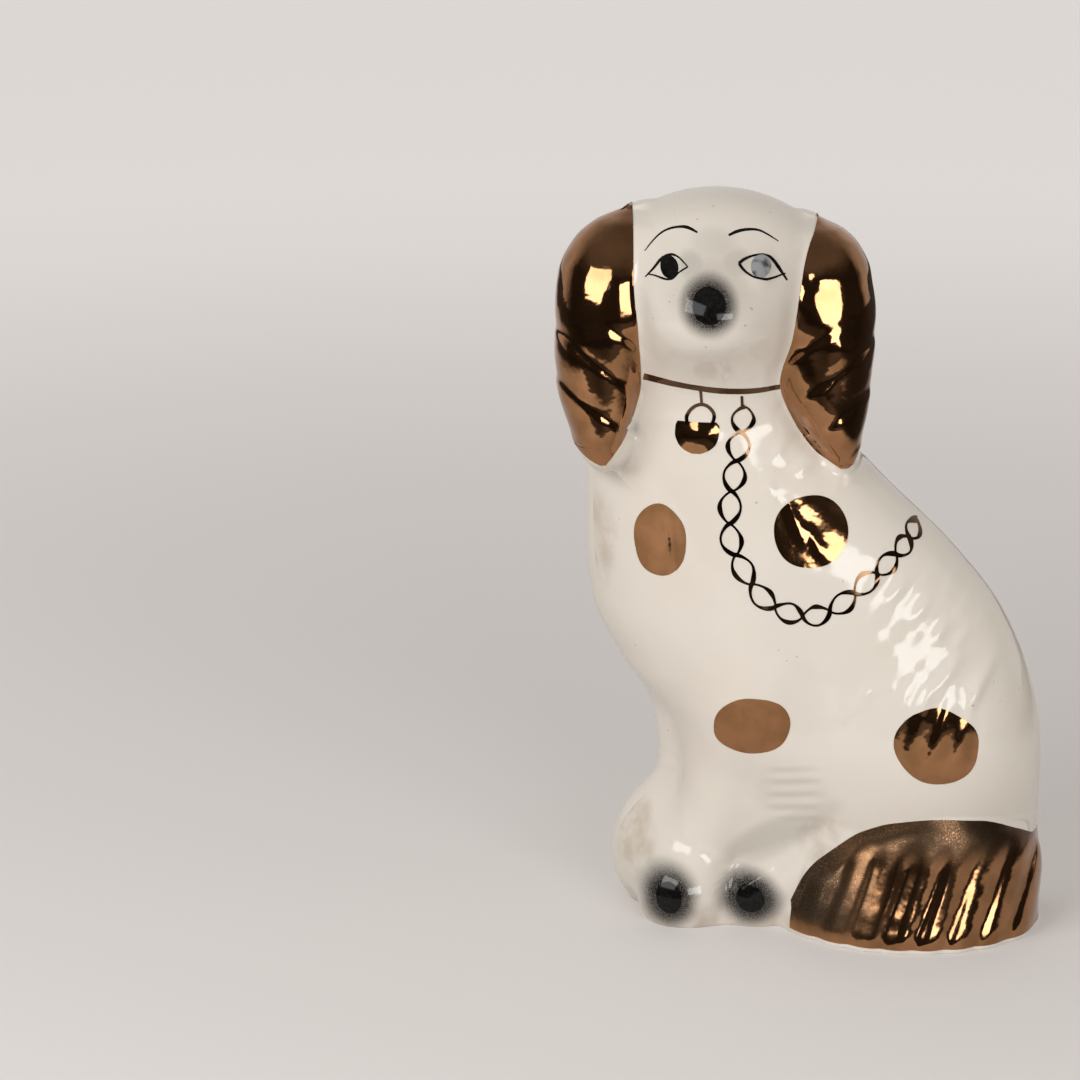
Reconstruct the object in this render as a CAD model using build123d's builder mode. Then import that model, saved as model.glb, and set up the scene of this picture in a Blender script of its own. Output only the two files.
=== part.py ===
"""Seated spaniel mantel figure: two hollow earthenware halves, a base slab, and the fired coats of
gold lustre and black enamel that are painted on its front.

Millimetres. +Z is up, the face and the painted side look along -Y, and the chest is towards -X.
"""

import os
from math import atan2, cos, degrees, radians, sin, sqrt

from build123d import *

# Clay body
wall = 5.0
# the body is turned, and less so at its foot
body_turn = 13.0
foot_turn = 4.0
turn_start_share = 0.073
turn_end_share = 0.463
body_place = (-0.33, 5.83)
seam_depth = 2.0

# Torso, a stack of oval sections from the foot to the top of the neck
torso_height = 205.0
torso_half_length = 85.0
torso_half_depth = 41.0
# height, left, right, front and back edge of each section
torso_section_shares = (
    (0.00, -0.38, 0.995, -0.67, 0.94),
    (0.10, -0.40, 1.00, -0.71, 0.98),
    (0.22, -0.46, 1.00, -0.83, 1.00),
    (0.34, -0.55, 0.99, -0.90, 1.00),
    (0.44, -0.75, 0.94, -0.90, 0.98),
    (0.55, -0.87, 0.83, -0.88, 0.93),
    (0.65, -0.90, 0.635, -0.85, 0.85),
    (0.78, -0.89, 0.30, -0.80, 0.76),
    (0.88, -0.82, 0.095, -0.73, 0.68),
    (1.00, -0.71, 0.00, -0.63, 0.585),
)

# Head, carried on the neck
head_lift = 16.0
head_forward = 6.0
head_shift = -1.2
skull_half_sizes = (43.5, 36.0, 36.0)
head_cavity_shares = (-0.58, -0.20, 0.25, 0.62, 0.90)
snout_length = 54.0
snout_radius = 28.0
snout_shift = -2.1
snout_rounding_share = 0.8
# length, half width, half height and lift of each section from the skull to the nose
snout_section_shares = (
    (0.26, 1.00, 0.88, -0.08),
    (0.60, 0.76, 0.70, -0.05),
    (0.84, 0.52, 0.50, 0.05),
    (0.97, 0.32, 0.32, 0.12),
)

# Ears, one stack of oval sections mirrored about the head
ear_drop = 59.0
ear_length = 85.5
ear_spread = 37.5
ear_half_width = 17.8
ear_half_depth = 20.8
ear_rounding_share = 0.8
# height, sideways shift, half width, depth shift and half depth of each section
ear_section_shares = (
    (0.00, 0.19, 0.16, -0.56, 0.26),
    (0.06, 0.17, 0.35, -0.58, 0.43),
    (0.19, 0.08, 0.67, -0.56, 0.71),
    (0.36, 0.00, 0.90, -0.52, 0.90),
    (0.50, 0.00, 0.95, -0.45, 0.98),
    (0.66, -0.05, 0.99, -0.37, 1.00),
    (0.80, -0.15, 1.00, -0.31, 0.94),
    (0.91, -0.26, 0.84, -0.24, 0.77),
    (0.97, -0.36, 0.60, -0.15, 0.53),
    (1.00, -0.44, 0.34, -0.08, 0.32),
)

# Haunch, hind foot and paws, placed along the turned body
haunch_place_shares = (0.47, -0.20, 0.30)
haunch_half_sizes = (41.0, 30.0, 46.0)
haunch_tilt = 12.0
foot_place_shares = (0.04, -0.45, 0.098)
foot_half_sizes = (32.0, 13.0, 14.0)
foot_tilt = -36.0
hind_paw_place_shares = (-0.147, -0.39, 0.044)
hind_paw_half_sizes = (13.5, 12.5, 12.5)
paw_place_shares = (-0.46, -0.415, 0.044)
paw_half_sizes = (16.0, 14.5, 15.0)
far_paw_place_shares = (-0.506, 0.12, 0.09)
far_paw_half_sizes = (22.5, 21.0, 25.5)

# Tail, a plume curled round the foot, a stack of oval sections with slanted flutes in front
tail_height = 48.0
tail_half_length = 47.2
tail_half_depth = 37.5
tail_place_shares = (0.462, -0.159)
tail_rounding_share = 0.2
# height, left, right, front and back edge of each section
tail_section_shares = (
    (0.00, -1.00, 0.99, -1.09, 0.99),
    (0.17, -1.00, 1.00, -1.08, 1.00),
    (0.38, -0.935, 1.00, -1.04, 1.00),
    (0.56, -0.81, 0.98, -0.985, 0.97),
    (0.71, -0.66, 0.925, -0.93, 0.945),
    (0.83, -0.49, 0.83, -0.86, 0.89),
    (0.93, -0.28, 0.67, -0.77, 0.76),
    (1.00, -0.05, 0.46, -0.545, 0.44),
)
flute_count = 7
flute_half_sizes = (3.0, 3.0, 17.0)
flute_depth = 0.9
flute_tilt = 20.0
flute_lean = 11.0
flute_height_share = 0.36
# front of the tail at that height
flute_front_share = 1.04
# how far along the front of the tail the first and last flute lie
flute_span_shares = (-0.66, 0.72)

# Forelegs, each a stack of round sections
leg_height = 118.0
near_leg_place_shares = (-0.165, -0.34)
near_leg_radius = 20.5
# height, sideways shift, depth shift and radius of each section
near_leg_shares = (
    (0.00, -1.17, 0.37, 0.54),
    (0.17, -0.93, 0.29, 0.64),
    (0.42, -0.46, 0.15, 0.81),
    (0.68, 0.00, 0.00, 1.00),
    (0.89, 0.17, 0.14, 1.08),
    (1.00, 0.25, 0.30, 0.95),
)
far_leg_place_shares = (-0.53, 0.05)
far_leg_radius = 9.0
far_leg_shares = (
    (0.00, 1.10, 0.20, 1.00),
    (0.38, 0.70, 0.10, 1.00),
    (0.78, 0.00, 0.00, 1.00),
    (0.90, 0.60, 0.40, 0.80),
)

# Base slab, luted into the open foot, with its casting hole
slab_thickness = 6.0
slab_recess = 1.5
luting_gap = 0.2
pour_hole_radius = 9.0

# Fired coats, laid on the front
coat = 0.35
front_reach = 80.0
foot_line = 1.2
gilding_margin = 3.0
spot_chest_place_shares = (-0.584, 0.677)
spot_chest_half_sizes = (9.2, 12.6)
spot_shoulder_place_shares = (0.012, 0.706)
spot_shoulder_half_sizes = (12.8, 12.2)
spot_foreleg_place_shares = (-0.21, 0.372)
spot_foreleg_half_sizes = (13.6, 9.6)
spot_foreleg_tilt = 16.0
spot_haunch_place_shares = (0.52, 0.356)
spot_haunch_half_sizes = (14.6, 13.2)

# Collar, padlock and lead
collar_half_length = 22.0
collar_sag = 3.0
collar_line = 1.9
collar_tilt = 4.0
collar_drop = 26.0
lock_half_width = 7.4
lock_height = 10.4
lock_shift = -4.6
lock_drop = 14.5
ring_half_sizes = (4.8, 4.2)
ring_rise_share = 0.62
ring_line = 1.1
link_half_length = 5.0
link_half_width = 3.1
link_line = 0.9
link_count = 15
# places along the chest that the lead passes
lead_place_shares = (
    (-0.262, 0.905),
    (-0.293, 0.796),
    (-0.304, 0.690),
    (-0.180, 0.598),
    (0.034, 0.569),
    (0.232, 0.623),
    (0.393, 0.679),
    (0.430, 0.700),
)

# Face
eye_spread = 15.8
eye_lift = 15.2
eye_half_sizes = (7.3, 3.7)
# outer corner, top, inner corner and bottom of the lids
eye_corner_shares = ((1.0, -0.95), (-0.15, 1.0), (-1.0, 0.5), (0.0, -0.82))
eye_inside_share = 0.84
iris_radius = 3.2
brow_spread = 13.6
brow_lift = 24.8
brow_half_length = 8.6
brow_rise = 2.6
brow_line = 0.8
brow_tilt = 12.0
nose_half_width = 10.4
nose_height = 18.5
nose_lift = 3.4
nose_rounding = 4.8
toe_half_sizes = (6.4, 6.6)
fore_toe_shift_shares = (-0.33, 0.31)
hind_toe_shift_shares = (-0.20, 0.38)


def on_body(height=0.0):
    """Level plane at a height, turned as the body is there."""
    share = (height / torso_height - turn_start_share) / (turn_end_share - turn_start_share)
    share = min(max(share, 0), 1)
    turn = radians(foot_turn + share**2 * (3 - 2 * share) * (body_turn - foot_turn))
    return Plane(origin=(*body_place, height), x_dir=(cos(turn), -sin(turn), 0), z_dir=(0, 0, 1))


def placed(shares):
    """Place on the turned body from shares of its half length, half depth and height."""
    return (shares[0] * torso_half_length, shares[1] * torso_half_depth, shares[2] * torso_height)


def front_place(shares):
    """Place seen from the front from shares of the torso's half length and height."""
    return (body_place[0] + shares[0] * torso_half_length, shares[1] * torso_height)


def ellipsoid(half_sizes, grow=0.0):
    """Egg-shaped mass about the origin."""
    with BuildPart() as egg:
        Sphere(1)
        scale(by=tuple(size + grow for size in half_sizes))
    return egg.part


def body_mass(half_sizes, place_shares, tilt=0.0, grow=0.0):
    """Egg-shaped mass at a place on the turned body, tilted about the depth axis."""
    across, deep, high = placed(place_shares)
    return ellipsoid(half_sizes, grow).moved(on_body(high).location * Pos(across, deep, 0) * Rot(0, tilt, 0))


def torso_section(shares, grow):
    """Oval section of the body or neck, drawn at its height."""
    height, left, right, front, back = shares
    with BuildSketch(on_body(height * torso_height)) as section:
        with Locations(((left + right) / 2 * torso_half_length, (front + back) / 2 * torso_half_depth)):
            Ellipse(
                (right - left) / 2 * torso_half_length + grow,
                (back - front) / 2 * torso_half_depth + grow,
            )
    return section.sketch


def torso(grow=0.0):
    """Loft through the oval sections of the body and neck."""
    with BuildPart() as trunk:
        loft([torso_section(shares, grow) for shares in torso_section_shares])
    return trunk.part


neck_section = torso_section_shares[-1]
neck_place = on_body(torso_height).from_local_coords(
    (
        (neck_section[1] + neck_section[2]) / 2 * torso_half_length,
        (neck_section[3] + neck_section[4]) / 2 * torso_half_depth,
    )
)
head_place = Vector(neck_place.X + head_shift, neck_place.Y - head_forward, torso_height + head_lift)
face_middle = head_place.X + snout_shift


def skull(grow=0.0):
    """Round of the head."""
    return ellipsoid(skull_half_sizes, grow).moved(Pos(*head_place))


def snout(grow=0.0):
    """Blunt snout, a loft from inside the skull to the nose."""
    with BuildPart() as cone:
        for length, width, height, lift in snout_section_shares:
            section = Plane(
                origin=(
                    face_middle,
                    head_place.Y - length * snout_length - grow,
                    head_place.Z + lift * snout_radius,
                ),
                x_dir=(1, 0, 0),
                z_dir=(0, -1, 0),
            )
            with BuildSketch(section):
                Ellipse(width * snout_radius + grow, height * snout_radius + grow)
        loft()
        tip = cone.faces().sort_by(Axis.Y)[0]
        fillet(tip.edges(), snout_rounding_share * snout_section_shares[-1][1] * snout_radius)
    return cone.part


def left_ear(grow=0.0):
    """Left hanging ear, a loft from its tip to its root."""
    with BuildPart() as flap:
        for height, shift, width, depth_shift, depth in ear_section_shares:
            with BuildSketch(Plane.XY.offset(head_place.Z - ear_drop + height * ear_length)):
                across = head_place.X - ear_spread - shift * ear_half_width
                with Locations((across, head_place.Y + depth_shift * ear_half_depth)):
                    Ellipse(width * ear_half_width + grow, depth * ear_half_depth + grow)
        loft()
        ends = flap.faces().filter_by(GeomType.PLANE)
        fillet(ends.edges(), ear_rounding_share * ear_section_shares[0][2] * ear_half_width)
    return flap.part


def right_ear(grow=0.0):
    """Right hanging ear, the left one mirrored about the head."""
    return left_ear(grow).mirror(Plane.YZ.offset(head_place.X))


def foreleg(place_shares, radius, shares, grow=0.0):
    """Tapering leg from the foot up into the chest."""
    middle = placed((*place_shares, 0))
    with BuildPart() as leg:
        for height, across, depth, size in shares:
            with BuildSketch(on_body(height * leg_height)):
                with Locations((middle[0] + across * radius, middle[1] + depth * radius)):
                    Circle(size * radius + grow)
        loft()
    return leg.part


def tail(grow=0.0):
    """Plume of the tail, a loft up from the foot with a rounded top and fluted locks."""
    across, deep, _ = placed((*tail_place_shares, 0))
    with BuildPart() as plume:
        for height, left, right, front, back in tail_section_shares:
            with BuildSketch(on_body(height * tail_height)):
                middle = (
                    across + (left + right) / 2 * tail_half_length,
                    deep + (front + back) / 2 * tail_half_depth,
                )
                with Locations(middle):
                    Ellipse(
                        (right - left) / 2 * tail_half_length + grow,
                        (back - front) / 2 * tail_half_depth + grow,
                    )
        loft()
        top = plume.faces().sort_by(Axis.Z)[-1]
        fillet(top.edges(), tail_rounding_share * tail_half_depth)
        first, last = flute_span_shares
        for number in range(flute_count):
            along = first + (last - first) * number / (flute_count - 1)
            out = flute_front_share * tail_half_depth - flute_depth + flute_half_sizes[1]
            place = (across + along * tail_half_length, deep - out * sqrt(1 - along**2), 0)
            facing = degrees(atan2(along * tail_half_depth, sqrt(1 - along**2) * tail_half_length))
            level = on_body(flute_height_share * tail_height).location
            lie = level * Pos(*place) * Rot(0, 0, facing) * Rot(-flute_lean, flute_tilt, 0)
            add(ellipsoid(flute_half_sizes, -grow).moved(lie), mode=Mode.SUBTRACT)
    return plume.part


def haunch(grow=0.0):
    """Thigh of the hind leg."""
    return body_mass(haunch_half_sizes, haunch_place_shares, haunch_tilt, grow)


def hind_foot(grow=0.0):
    """Hind foot, lying forward from under the thigh."""
    return body_mass(foot_half_sizes, foot_place_shares, foot_tilt, grow)


def hind_paw(grow=0.0):
    """Round of the hind toes."""
    return body_mass(hind_paw_half_sizes, hind_paw_place_shares, grow=grow)


def fore_paw(grow=0.0):
    """Near fore paw."""
    return body_mass(paw_half_sizes, paw_place_shares, grow=grow)


def near_leg(grow=0.0):
    """Near foreleg."""
    return foreleg(near_leg_place_shares, near_leg_radius, near_leg_shares, grow)


with BuildPart() as form:
    add(torso())
    add(skull())
    add(snout())
    add(haunch())
    add(near_leg())
    add(foreleg(far_leg_place_shares, far_leg_radius, far_leg_shares))
    add(body_mass(far_paw_half_sizes, far_paw_place_shares))
    add(fore_paw())
    add(hind_foot())
    add(hind_paw())
    add(tail())
    add(left_ear())
    add(right_ear())
    split(bisect_by=Plane.XY, keep=Keep.TOP)


def head_section(rise, grow):
    """Oval section of the hollow head at a share of its half height above the middle."""
    across, deep, high = (size + grow for size in skull_half_sizes)
    level = on_body(head_place.Z + rise * high)
    middle = level.to_local_coords(head_place)
    with BuildSketch(level) as section:
        with Locations((middle.X, middle.Y)):
            Ellipse(across * sqrt(1 - rise**2), deep * sqrt(1 - rise**2))
    return section.sketch


def head_hollow(grow):
    """Inside of the head, open to the neck."""
    with BuildPart() as inside:
        loft([head_section(rise, grow) for rise in head_cavity_shares])
    return inside.part


with BuildPart() as shell:
    add(form.part)
    add(torso(-wall), mode=Mode.SUBTRACT)
    add(head_hollow(-wall), mode=Mode.SUBTRACT)

seam = Plane.XZ.offset(-body_place[1] - seam_depth)

with BuildPart() as front_half:
    add(shell.part)
    split(bisect_by=seam, keep=Keep.TOP)

with BuildPart() as back_half:
    add(shell.part)
    split(bisect_by=seam, keep=Keep.BOTTOM)

with BuildPart() as base_slab:
    add(torso(-wall - luting_gap))
    split(bisect_by=Plane.XY.offset(slab_recess), keep=Keep.TOP)
    split(bisect_by=Plane.XY.offset(slab_recess + slab_thickness), keep=Keep.BOTTOM)
    foot_section = torso_section_shares[0]
    hole_place = (
        (foot_section[1] + foot_section[2]) / 2 * torso_half_length,
        (foot_section[3] + foot_section[4]) / 2 * torso_half_depth,
    )
    with BuildSketch(on_body(slab_recess)):
        with Locations(hole_place):
            Circle(pour_hole_radius)
    extrude(amount=slab_thickness, mode=Mode.SUBTRACT)


def painted(outline, *carriers):
    """Coat of an outline seen from the front, on the carriers' surface where the form shows it."""
    with BuildPart() as carrier:
        for mass in carriers:
            add(mass)
    with BuildPart() as film:
        extrude(outline, amount=front_reach)
        add(carrier.part, mode=Mode.INTERSECT)
        add(form.part, mode=Mode.SUBTRACT)
    return film.part


def oval(place, half_sizes, tilt=0.0):
    """Oval outline seen from the front."""
    with BuildSketch(Plane.XZ) as outline:
        with Locations(place):
            Ellipse(*half_sizes, rotation=tilt)
    return outline.sketch


def gilded(mass):
    """Coat on a whole mass, short of the seam and of the foot line."""
    with BuildPart() as film:
        add(mass)
        split(bisect_by=seam.offset(gilding_margin), keep=Keep.TOP)
        split(bisect_by=Plane.XY.offset(foot_line), keep=Keep.TOP)
        add(form.part, mode=Mode.SUBTRACT)
    return film.part


def along_front(place_shares, shift_shares, half_sizes):
    """Place seen from the front of a share of a mass on the turned body."""
    across, deep, high = placed(place_shares)
    middle = on_body(high).from_local_coords((across + shift_shares[0] * half_sizes[0], deep))
    return (middle.X, high + shift_shares[1] * half_sizes[2])


def lids(side, share):
    """Almond between the lids, from corner to corner over the top and under the bottom."""
    outer, top, inner, bottom = (
        (
            face_middle + side * (eye_spread + across * share * eye_half_sizes[0]),
            head_place.Z + eye_lift + up * share * eye_half_sizes[1],
        )
        for across, up in eye_corner_shares
    )
    with BuildSketch(Plane.XZ) as almond:
        with BuildLine():
            ThreePointArc(outer, top, inner)
            ThreePointArc(inner, bottom, outer)
        make_face()
    return almond.sketch


def eye_outline(side):
    """Painted line of the lids."""
    with BuildSketch(Plane.XZ) as line:
        add(lids(side, 1))
        add(lids(side, eye_inside_share), mode=Mode.SUBTRACT)
    return line.sketch


def iris_outline(side):
    """Iris, cut off by the lids."""
    with BuildSketch(Plane.XZ) as disc:
        with Locations((face_middle + side * eye_spread, head_place.Z + eye_lift)):
            Circle(iris_radius)
        add(lids(side, eye_inside_share), mode=Mode.INTERSECT)
    return disc.sketch


def crescent(place, half_length, rise, line, tilt):
    """Brush stroke that is widest in its middle, from two arcs between the same ends."""
    with BuildSketch(Plane.XZ) as stroke:
        with BuildLine():
            ThreePointArc((-half_length, 0), (0, rise + line / 2), (half_length, 0))
            ThreePointArc((half_length, 0), (0, rise - line / 2), (-half_length, 0))
        make_face()
    return stroke.sketch.moved(Pos(place[0], 0, place[1]) * Rot(0, tilt, 0))


def nose_outline():
    """Rounded triangle, point up."""
    middle = head_place.Z + nose_lift
    with BuildSketch(Plane.XZ) as patch:
        with BuildLine():
            Polyline(
                (face_middle, middle + nose_height / 2),
                (face_middle - nose_half_width, middle - nose_height / 2),
                (face_middle + nose_half_width, middle - nose_height / 2),
                close=True,
            )
        make_face()
        fillet(patch.vertices(), nose_rounding)
    return patch.sketch


def collar_outline():
    """Collar line, sagging between the ears."""
    middle = (face_middle, head_place.Z - collar_drop)
    return crescent(middle, collar_half_length, -collar_sag, collar_line, collar_tilt)


lock_place = (face_middle + lock_shift, head_place.Z - collar_drop - lock_drop)


def lock_outline():
    """Padlock body, a half oval hanging from its level top edge."""
    with BuildSketch(Plane.XZ) as body:
        with Locations(lock_place):
            Ellipse(lock_half_width, lock_height)
            Rectangle(
                2 * lock_half_width, lock_height, align=(Align.CENTER, Align.MIN), mode=Mode.SUBTRACT
            )
    return body.sketch


def shackle_outline():
    """Padlock ring, hung by a short stem from the collar."""
    middle = (lock_place[0], lock_place[1] + ring_rise_share * ring_half_sizes[1])
    top = middle[1] + ring_half_sizes[1]
    collar_middle = head_place.Z - collar_drop - collar_sag
    with BuildSketch(Plane.XZ) as ring:
        with Locations(middle):
            Ellipse(*ring_half_sizes)
        with Locations((lock_place[0], top - ring_line)):
            Rectangle(ring_line, collar_middle - top + ring_line, align=(Align.CENTER, Align.MIN))
        with Locations(middle):
            Ellipse(*(size - ring_line for size in ring_half_sizes), mode=Mode.SUBTRACT)
        add(lock_outline(), mode=Mode.SUBTRACT)
        add(collar_outline(), mode=Mode.SUBTRACT)
    return ring.sketch


def lead_outline():
    """Lead of overlapping links, drawn along a curve down the chest and back over the shoulder."""
    with BuildLine(Plane.XZ) as way:
        Spline(*(front_place(shares) for shares in lead_place_shares))
    with BuildSketch() as link:
        Ellipse(link_half_length, link_half_width)
        Ellipse(link_half_length - link_line, link_half_width - link_line, mode=Mode.SUBTRACT)
    line = way.edges()[0]
    with BuildSketch(Plane.XZ) as chain:
        for number in range(link_count):
            middle = line @ ((number + 0.5) / link_count)
            along = line % ((number + 0.5) / link_count)
            with Locations(Location((middle.X, middle.Z, 0), (0, 0, degrees(atan2(along.Z, along.X))))):
                add(link.sketch)
    return chain.sketch


trunk_coat = torso(coat)
skull_coat = skull(coat)
snout_coat = snout(coat)
haunch_coat = haunch(coat)

pieces = {
    "front_half": front_half.part,
    "back_half": back_half.part,
    "base_slab": base_slab.part,
    "ear_gilding_left": gilded(left_ear(coat)),
    "ear_gilding_right": gilded(right_ear(coat)),
    "tail_gilding": gilded(tail(coat)),
    "spot_chest": painted(oval(front_place(spot_chest_place_shares), spot_chest_half_sizes), trunk_coat),
    "spot_shoulder": painted(
        oval(front_place(spot_shoulder_place_shares), spot_shoulder_half_sizes), trunk_coat
    ),
    "spot_foreleg": painted(
        oval(front_place(spot_foreleg_place_shares), spot_foreleg_half_sizes, spot_foreleg_tilt),
        trunk_coat,
        near_leg(coat),
    ),
    "spot_haunch": painted(
        oval(front_place(spot_haunch_place_shares), spot_haunch_half_sizes), haunch_coat
    ),
    "collar": painted(collar_outline(), trunk_coat, skull_coat),
    "padlock_body": painted(lock_outline(), trunk_coat),
    "padlock_shackle": painted(shackle_outline(), trunk_coat),
    "lead_chain": painted(lead_outline(), trunk_coat),
    "nose": painted(nose_outline(), snout_coat),
}
for side, side_name in ((-1, "left"), (1, "right")):
    pieces[f"eye_line_{side_name}"] = painted(eye_outline(side), skull_coat, snout_coat)
    pieces[f"iris_{side_name}"] = painted(iris_outline(side), skull_coat, snout_coat)
    brow_place = (face_middle + side * brow_spread, head_place.Z + brow_lift)
    brow = crescent(brow_place, brow_half_length, brow_rise, brow_line, side * brow_tilt)
    pieces[f"brow_{side_name}"] = painted(brow, skull_coat)
pieces["toes_fore"] = painted(
    oval(along_front(paw_place_shares, fore_toe_shift_shares, paw_half_sizes), toe_half_sizes),
    fore_paw(coat),
)
pieces["toes_hind"] = painted(
    oval(along_front(hind_paw_place_shares, hind_toe_shift_shares, hind_paw_half_sizes), toe_half_sizes),
    hind_paw(coat),
    hind_foot(coat),
)

os.makedirs("parts", exist_ok=True)
for name, piece in pieces.items():
    piece.label = name
    export_step(piece, f"parts/{name}.step")
    print(name, len(piece.solids()), round(piece.volume, 1), piece.is_valid)
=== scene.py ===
"""Look of a seated spaniel mantel figure in cream glazed earthenware.

The outside is one blended form: a few clay masses joined by soft creases, with low modelled relief for
the hair. Rays cast on that form give the two halves of the casting and, a little above them, the fired
coats of gold lustre and black enamel. Sizes are in millimetres in the figure's own frame, which has the
face looking along -Y, and become metres where a mesh is made.
"""

from __future__ import annotations

import functools
import logging
from dataclasses import dataclass
from enum import Enum
from typing import Callable, Iterable, Optional, Sequence, Tuple, Union

import bpy
import numpy as np
from mathutils import Matrix, Vector


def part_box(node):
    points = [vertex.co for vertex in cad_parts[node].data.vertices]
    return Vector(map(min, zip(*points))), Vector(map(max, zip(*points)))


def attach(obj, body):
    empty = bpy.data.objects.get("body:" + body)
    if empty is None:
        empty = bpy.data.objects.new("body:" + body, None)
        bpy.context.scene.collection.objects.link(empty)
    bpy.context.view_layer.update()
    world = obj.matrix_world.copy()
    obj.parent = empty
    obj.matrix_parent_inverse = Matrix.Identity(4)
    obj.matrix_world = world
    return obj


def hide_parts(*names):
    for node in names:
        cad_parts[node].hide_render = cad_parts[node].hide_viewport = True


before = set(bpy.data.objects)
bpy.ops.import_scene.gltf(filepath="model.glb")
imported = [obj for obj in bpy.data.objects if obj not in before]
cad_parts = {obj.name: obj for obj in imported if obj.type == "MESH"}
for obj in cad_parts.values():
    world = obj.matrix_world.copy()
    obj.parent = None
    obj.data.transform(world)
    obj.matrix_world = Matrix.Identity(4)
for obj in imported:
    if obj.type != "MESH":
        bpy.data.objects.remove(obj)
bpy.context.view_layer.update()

Array = np.ndarray
Point = Tuple[float, float, float]
Place = Tuple[float, float]
Path = Tuple[Place, ...]
Rows = Tuple[Point, ...]
Colour = Tuple[float, float, float, float]
log = logging.getLogger("mantel_dog")

METRES = 0.001
BODY = "root"
STEP_SHARE = 0.8
NEAR = 0.004
TINY = 1e-6
FAINT = 1e-9
FRONT_START = -140.0
EAR_LIFT = 0.3
LEFT_EAR_EDGE: Path = (
    (166.3, -68.4), (170.0, -65.6), (176.0, -61.6), (185.0, -58.3), (193.6, -56.5), (213.0, -57.8),
    (231.0, -59.4), (250.0, -59.3),
)
RIGHT_EAR_EDGE: Path = (
    (165.0, 11.4), (166.4, 9.0), (170.4, 2.6), (180.8, -4.8), (194.6, -9.6), (210.0, -6.0),
    (225.4, -3.9), (233.5, -2.5), (240.0, -0.6), (247.0, 3.2),
)


class Slot(str, Enum):
    """Material slots of the record."""

    GLAZE = "cream_glaze"
    LUSTRE = "gold_lustre"
    ENAMEL = "black_enamel"


def smooth_min(a: Array, b: Array, blend: float) -> Array:
    """Least of two distances, rounded over where they are within the blend of each other."""
    share = np.clip(0.5 + 0.5 * (b - a) / blend, 0, 1)
    return b * (1 - share) + a * share - blend * share * (1 - share)


def smooth_step(low: float, high: float, value: Array) -> Array:
    """Share of the way from low to high, eased at both ends."""
    share = np.clip((value - low) / (high - low), 0, 1)
    return share * share * (3 - 2 * share)


def eased(knots: Sequence[float], values: Array, at: Array, free: bool = False) -> Array:
    """Cubic through the values at the knots.

    Args:
        knots: Rising places of the values.
        values: One row of values per knot.
        at: Places to read, held inside the knots.
        free: Whether it may swing past a value, as a drawn curve does, instead of staying monotone.

    Returns:
        One row of values per place.
    """
    x = np.asarray(knots, float)
    y = np.asarray(values, float).reshape(len(x), -1)
    width = np.diff(x)[:, None]
    slope = np.diff(y, axis=0) / width
    turn = slope[:-1] * slope[1:]
    inner = np.where(turn > 0, 2 * turn / (slope[:-1] + slope[1:] + (turn <= 0)), 0)
    tangent = np.gradient(y, x, axis=0) if free else np.concatenate((slope[:1], inner, slope[-1:]))
    place = np.clip(at, x[0], x[-1])
    span = np.clip(np.searchsorted(x, place) - 1, 0, len(x) - 2)
    t = ((place - x[span]) / width[span, 0])[:, None]
    rise = y[span + 1] - y[span]
    start, end = tangent[span] * width[span], tangent[span + 1] * width[span]
    return y[span] + t * (start + t * (3 * rise - 2 * start - end + t * (start + end - 2 * rise)))


def turned(points: Array, degrees: Union[float, Array], first: int = 0, second: int = 1) -> Array:
    """Points as seen in axes turned by an angle in the plane of two coordinates."""
    angle = np.radians(degrees)
    out = points.copy()
    out[:, first] = points[:, first] * np.cos(angle) + points[:, second] * np.sin(angle)
    out[:, second] = points[:, second] * np.cos(angle) - points[:, first] * np.sin(angle)
    return out


def direction(turn: Array, lift: Union[float, Array] = 0.0) -> Array:
    """Unit directions of a turn from +X about the upright and a lift from the level, in radians."""
    turn, lift = np.broadcast_arrays(turn, lift)
    return np.stack((np.cos(lift) * np.cos(turn), np.cos(lift) * np.sin(turn), np.sin(lift)), -1)


@dataclass(frozen=True)
class Egg:
    """Egg-shaped clay mass, rolled in the plane of the front view."""

    centre: Point
    half_sizes: Point
    blend: float
    roll: float = 0.0
    on_body: bool = True

    def distance(self, points: Array) -> Array:
        """Distance from the egg, from the length of the scaled offset over that of its gradient."""
        offset = points - np.array(self.centre)
        if self.roll:
            offset = turned(offset, self.roll, 0, 2)
        half = np.array(self.half_sizes)
        scaled = np.linalg.norm(offset / half, axis=1) + TINY
        gradient = np.linalg.norm(offset / half**2, axis=1) + TINY
        return scaled * (scaled - 1) / gradient


@dataclass(frozen=True)
class Limb:
    """Tapering round mass between two places."""

    start: Point
    end: Point
    start_radius: float
    end_radius: float
    blend: float
    on_body: bool = True

    def distance(self, points: Array) -> Array:
        """Distance from the nearest place on the middle line, less the radius there."""
        start, along = np.array(self.start), np.array(self.end) - np.array(self.start)
        share = np.clip((points - start) @ along / (along @ along), 0, 1)
        offset = points - start - share[:, None] * along
        radius = self.start_radius + share * (self.end_radius - self.start_radius)
        return np.linalg.norm(offset, axis=1) - radius


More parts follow.
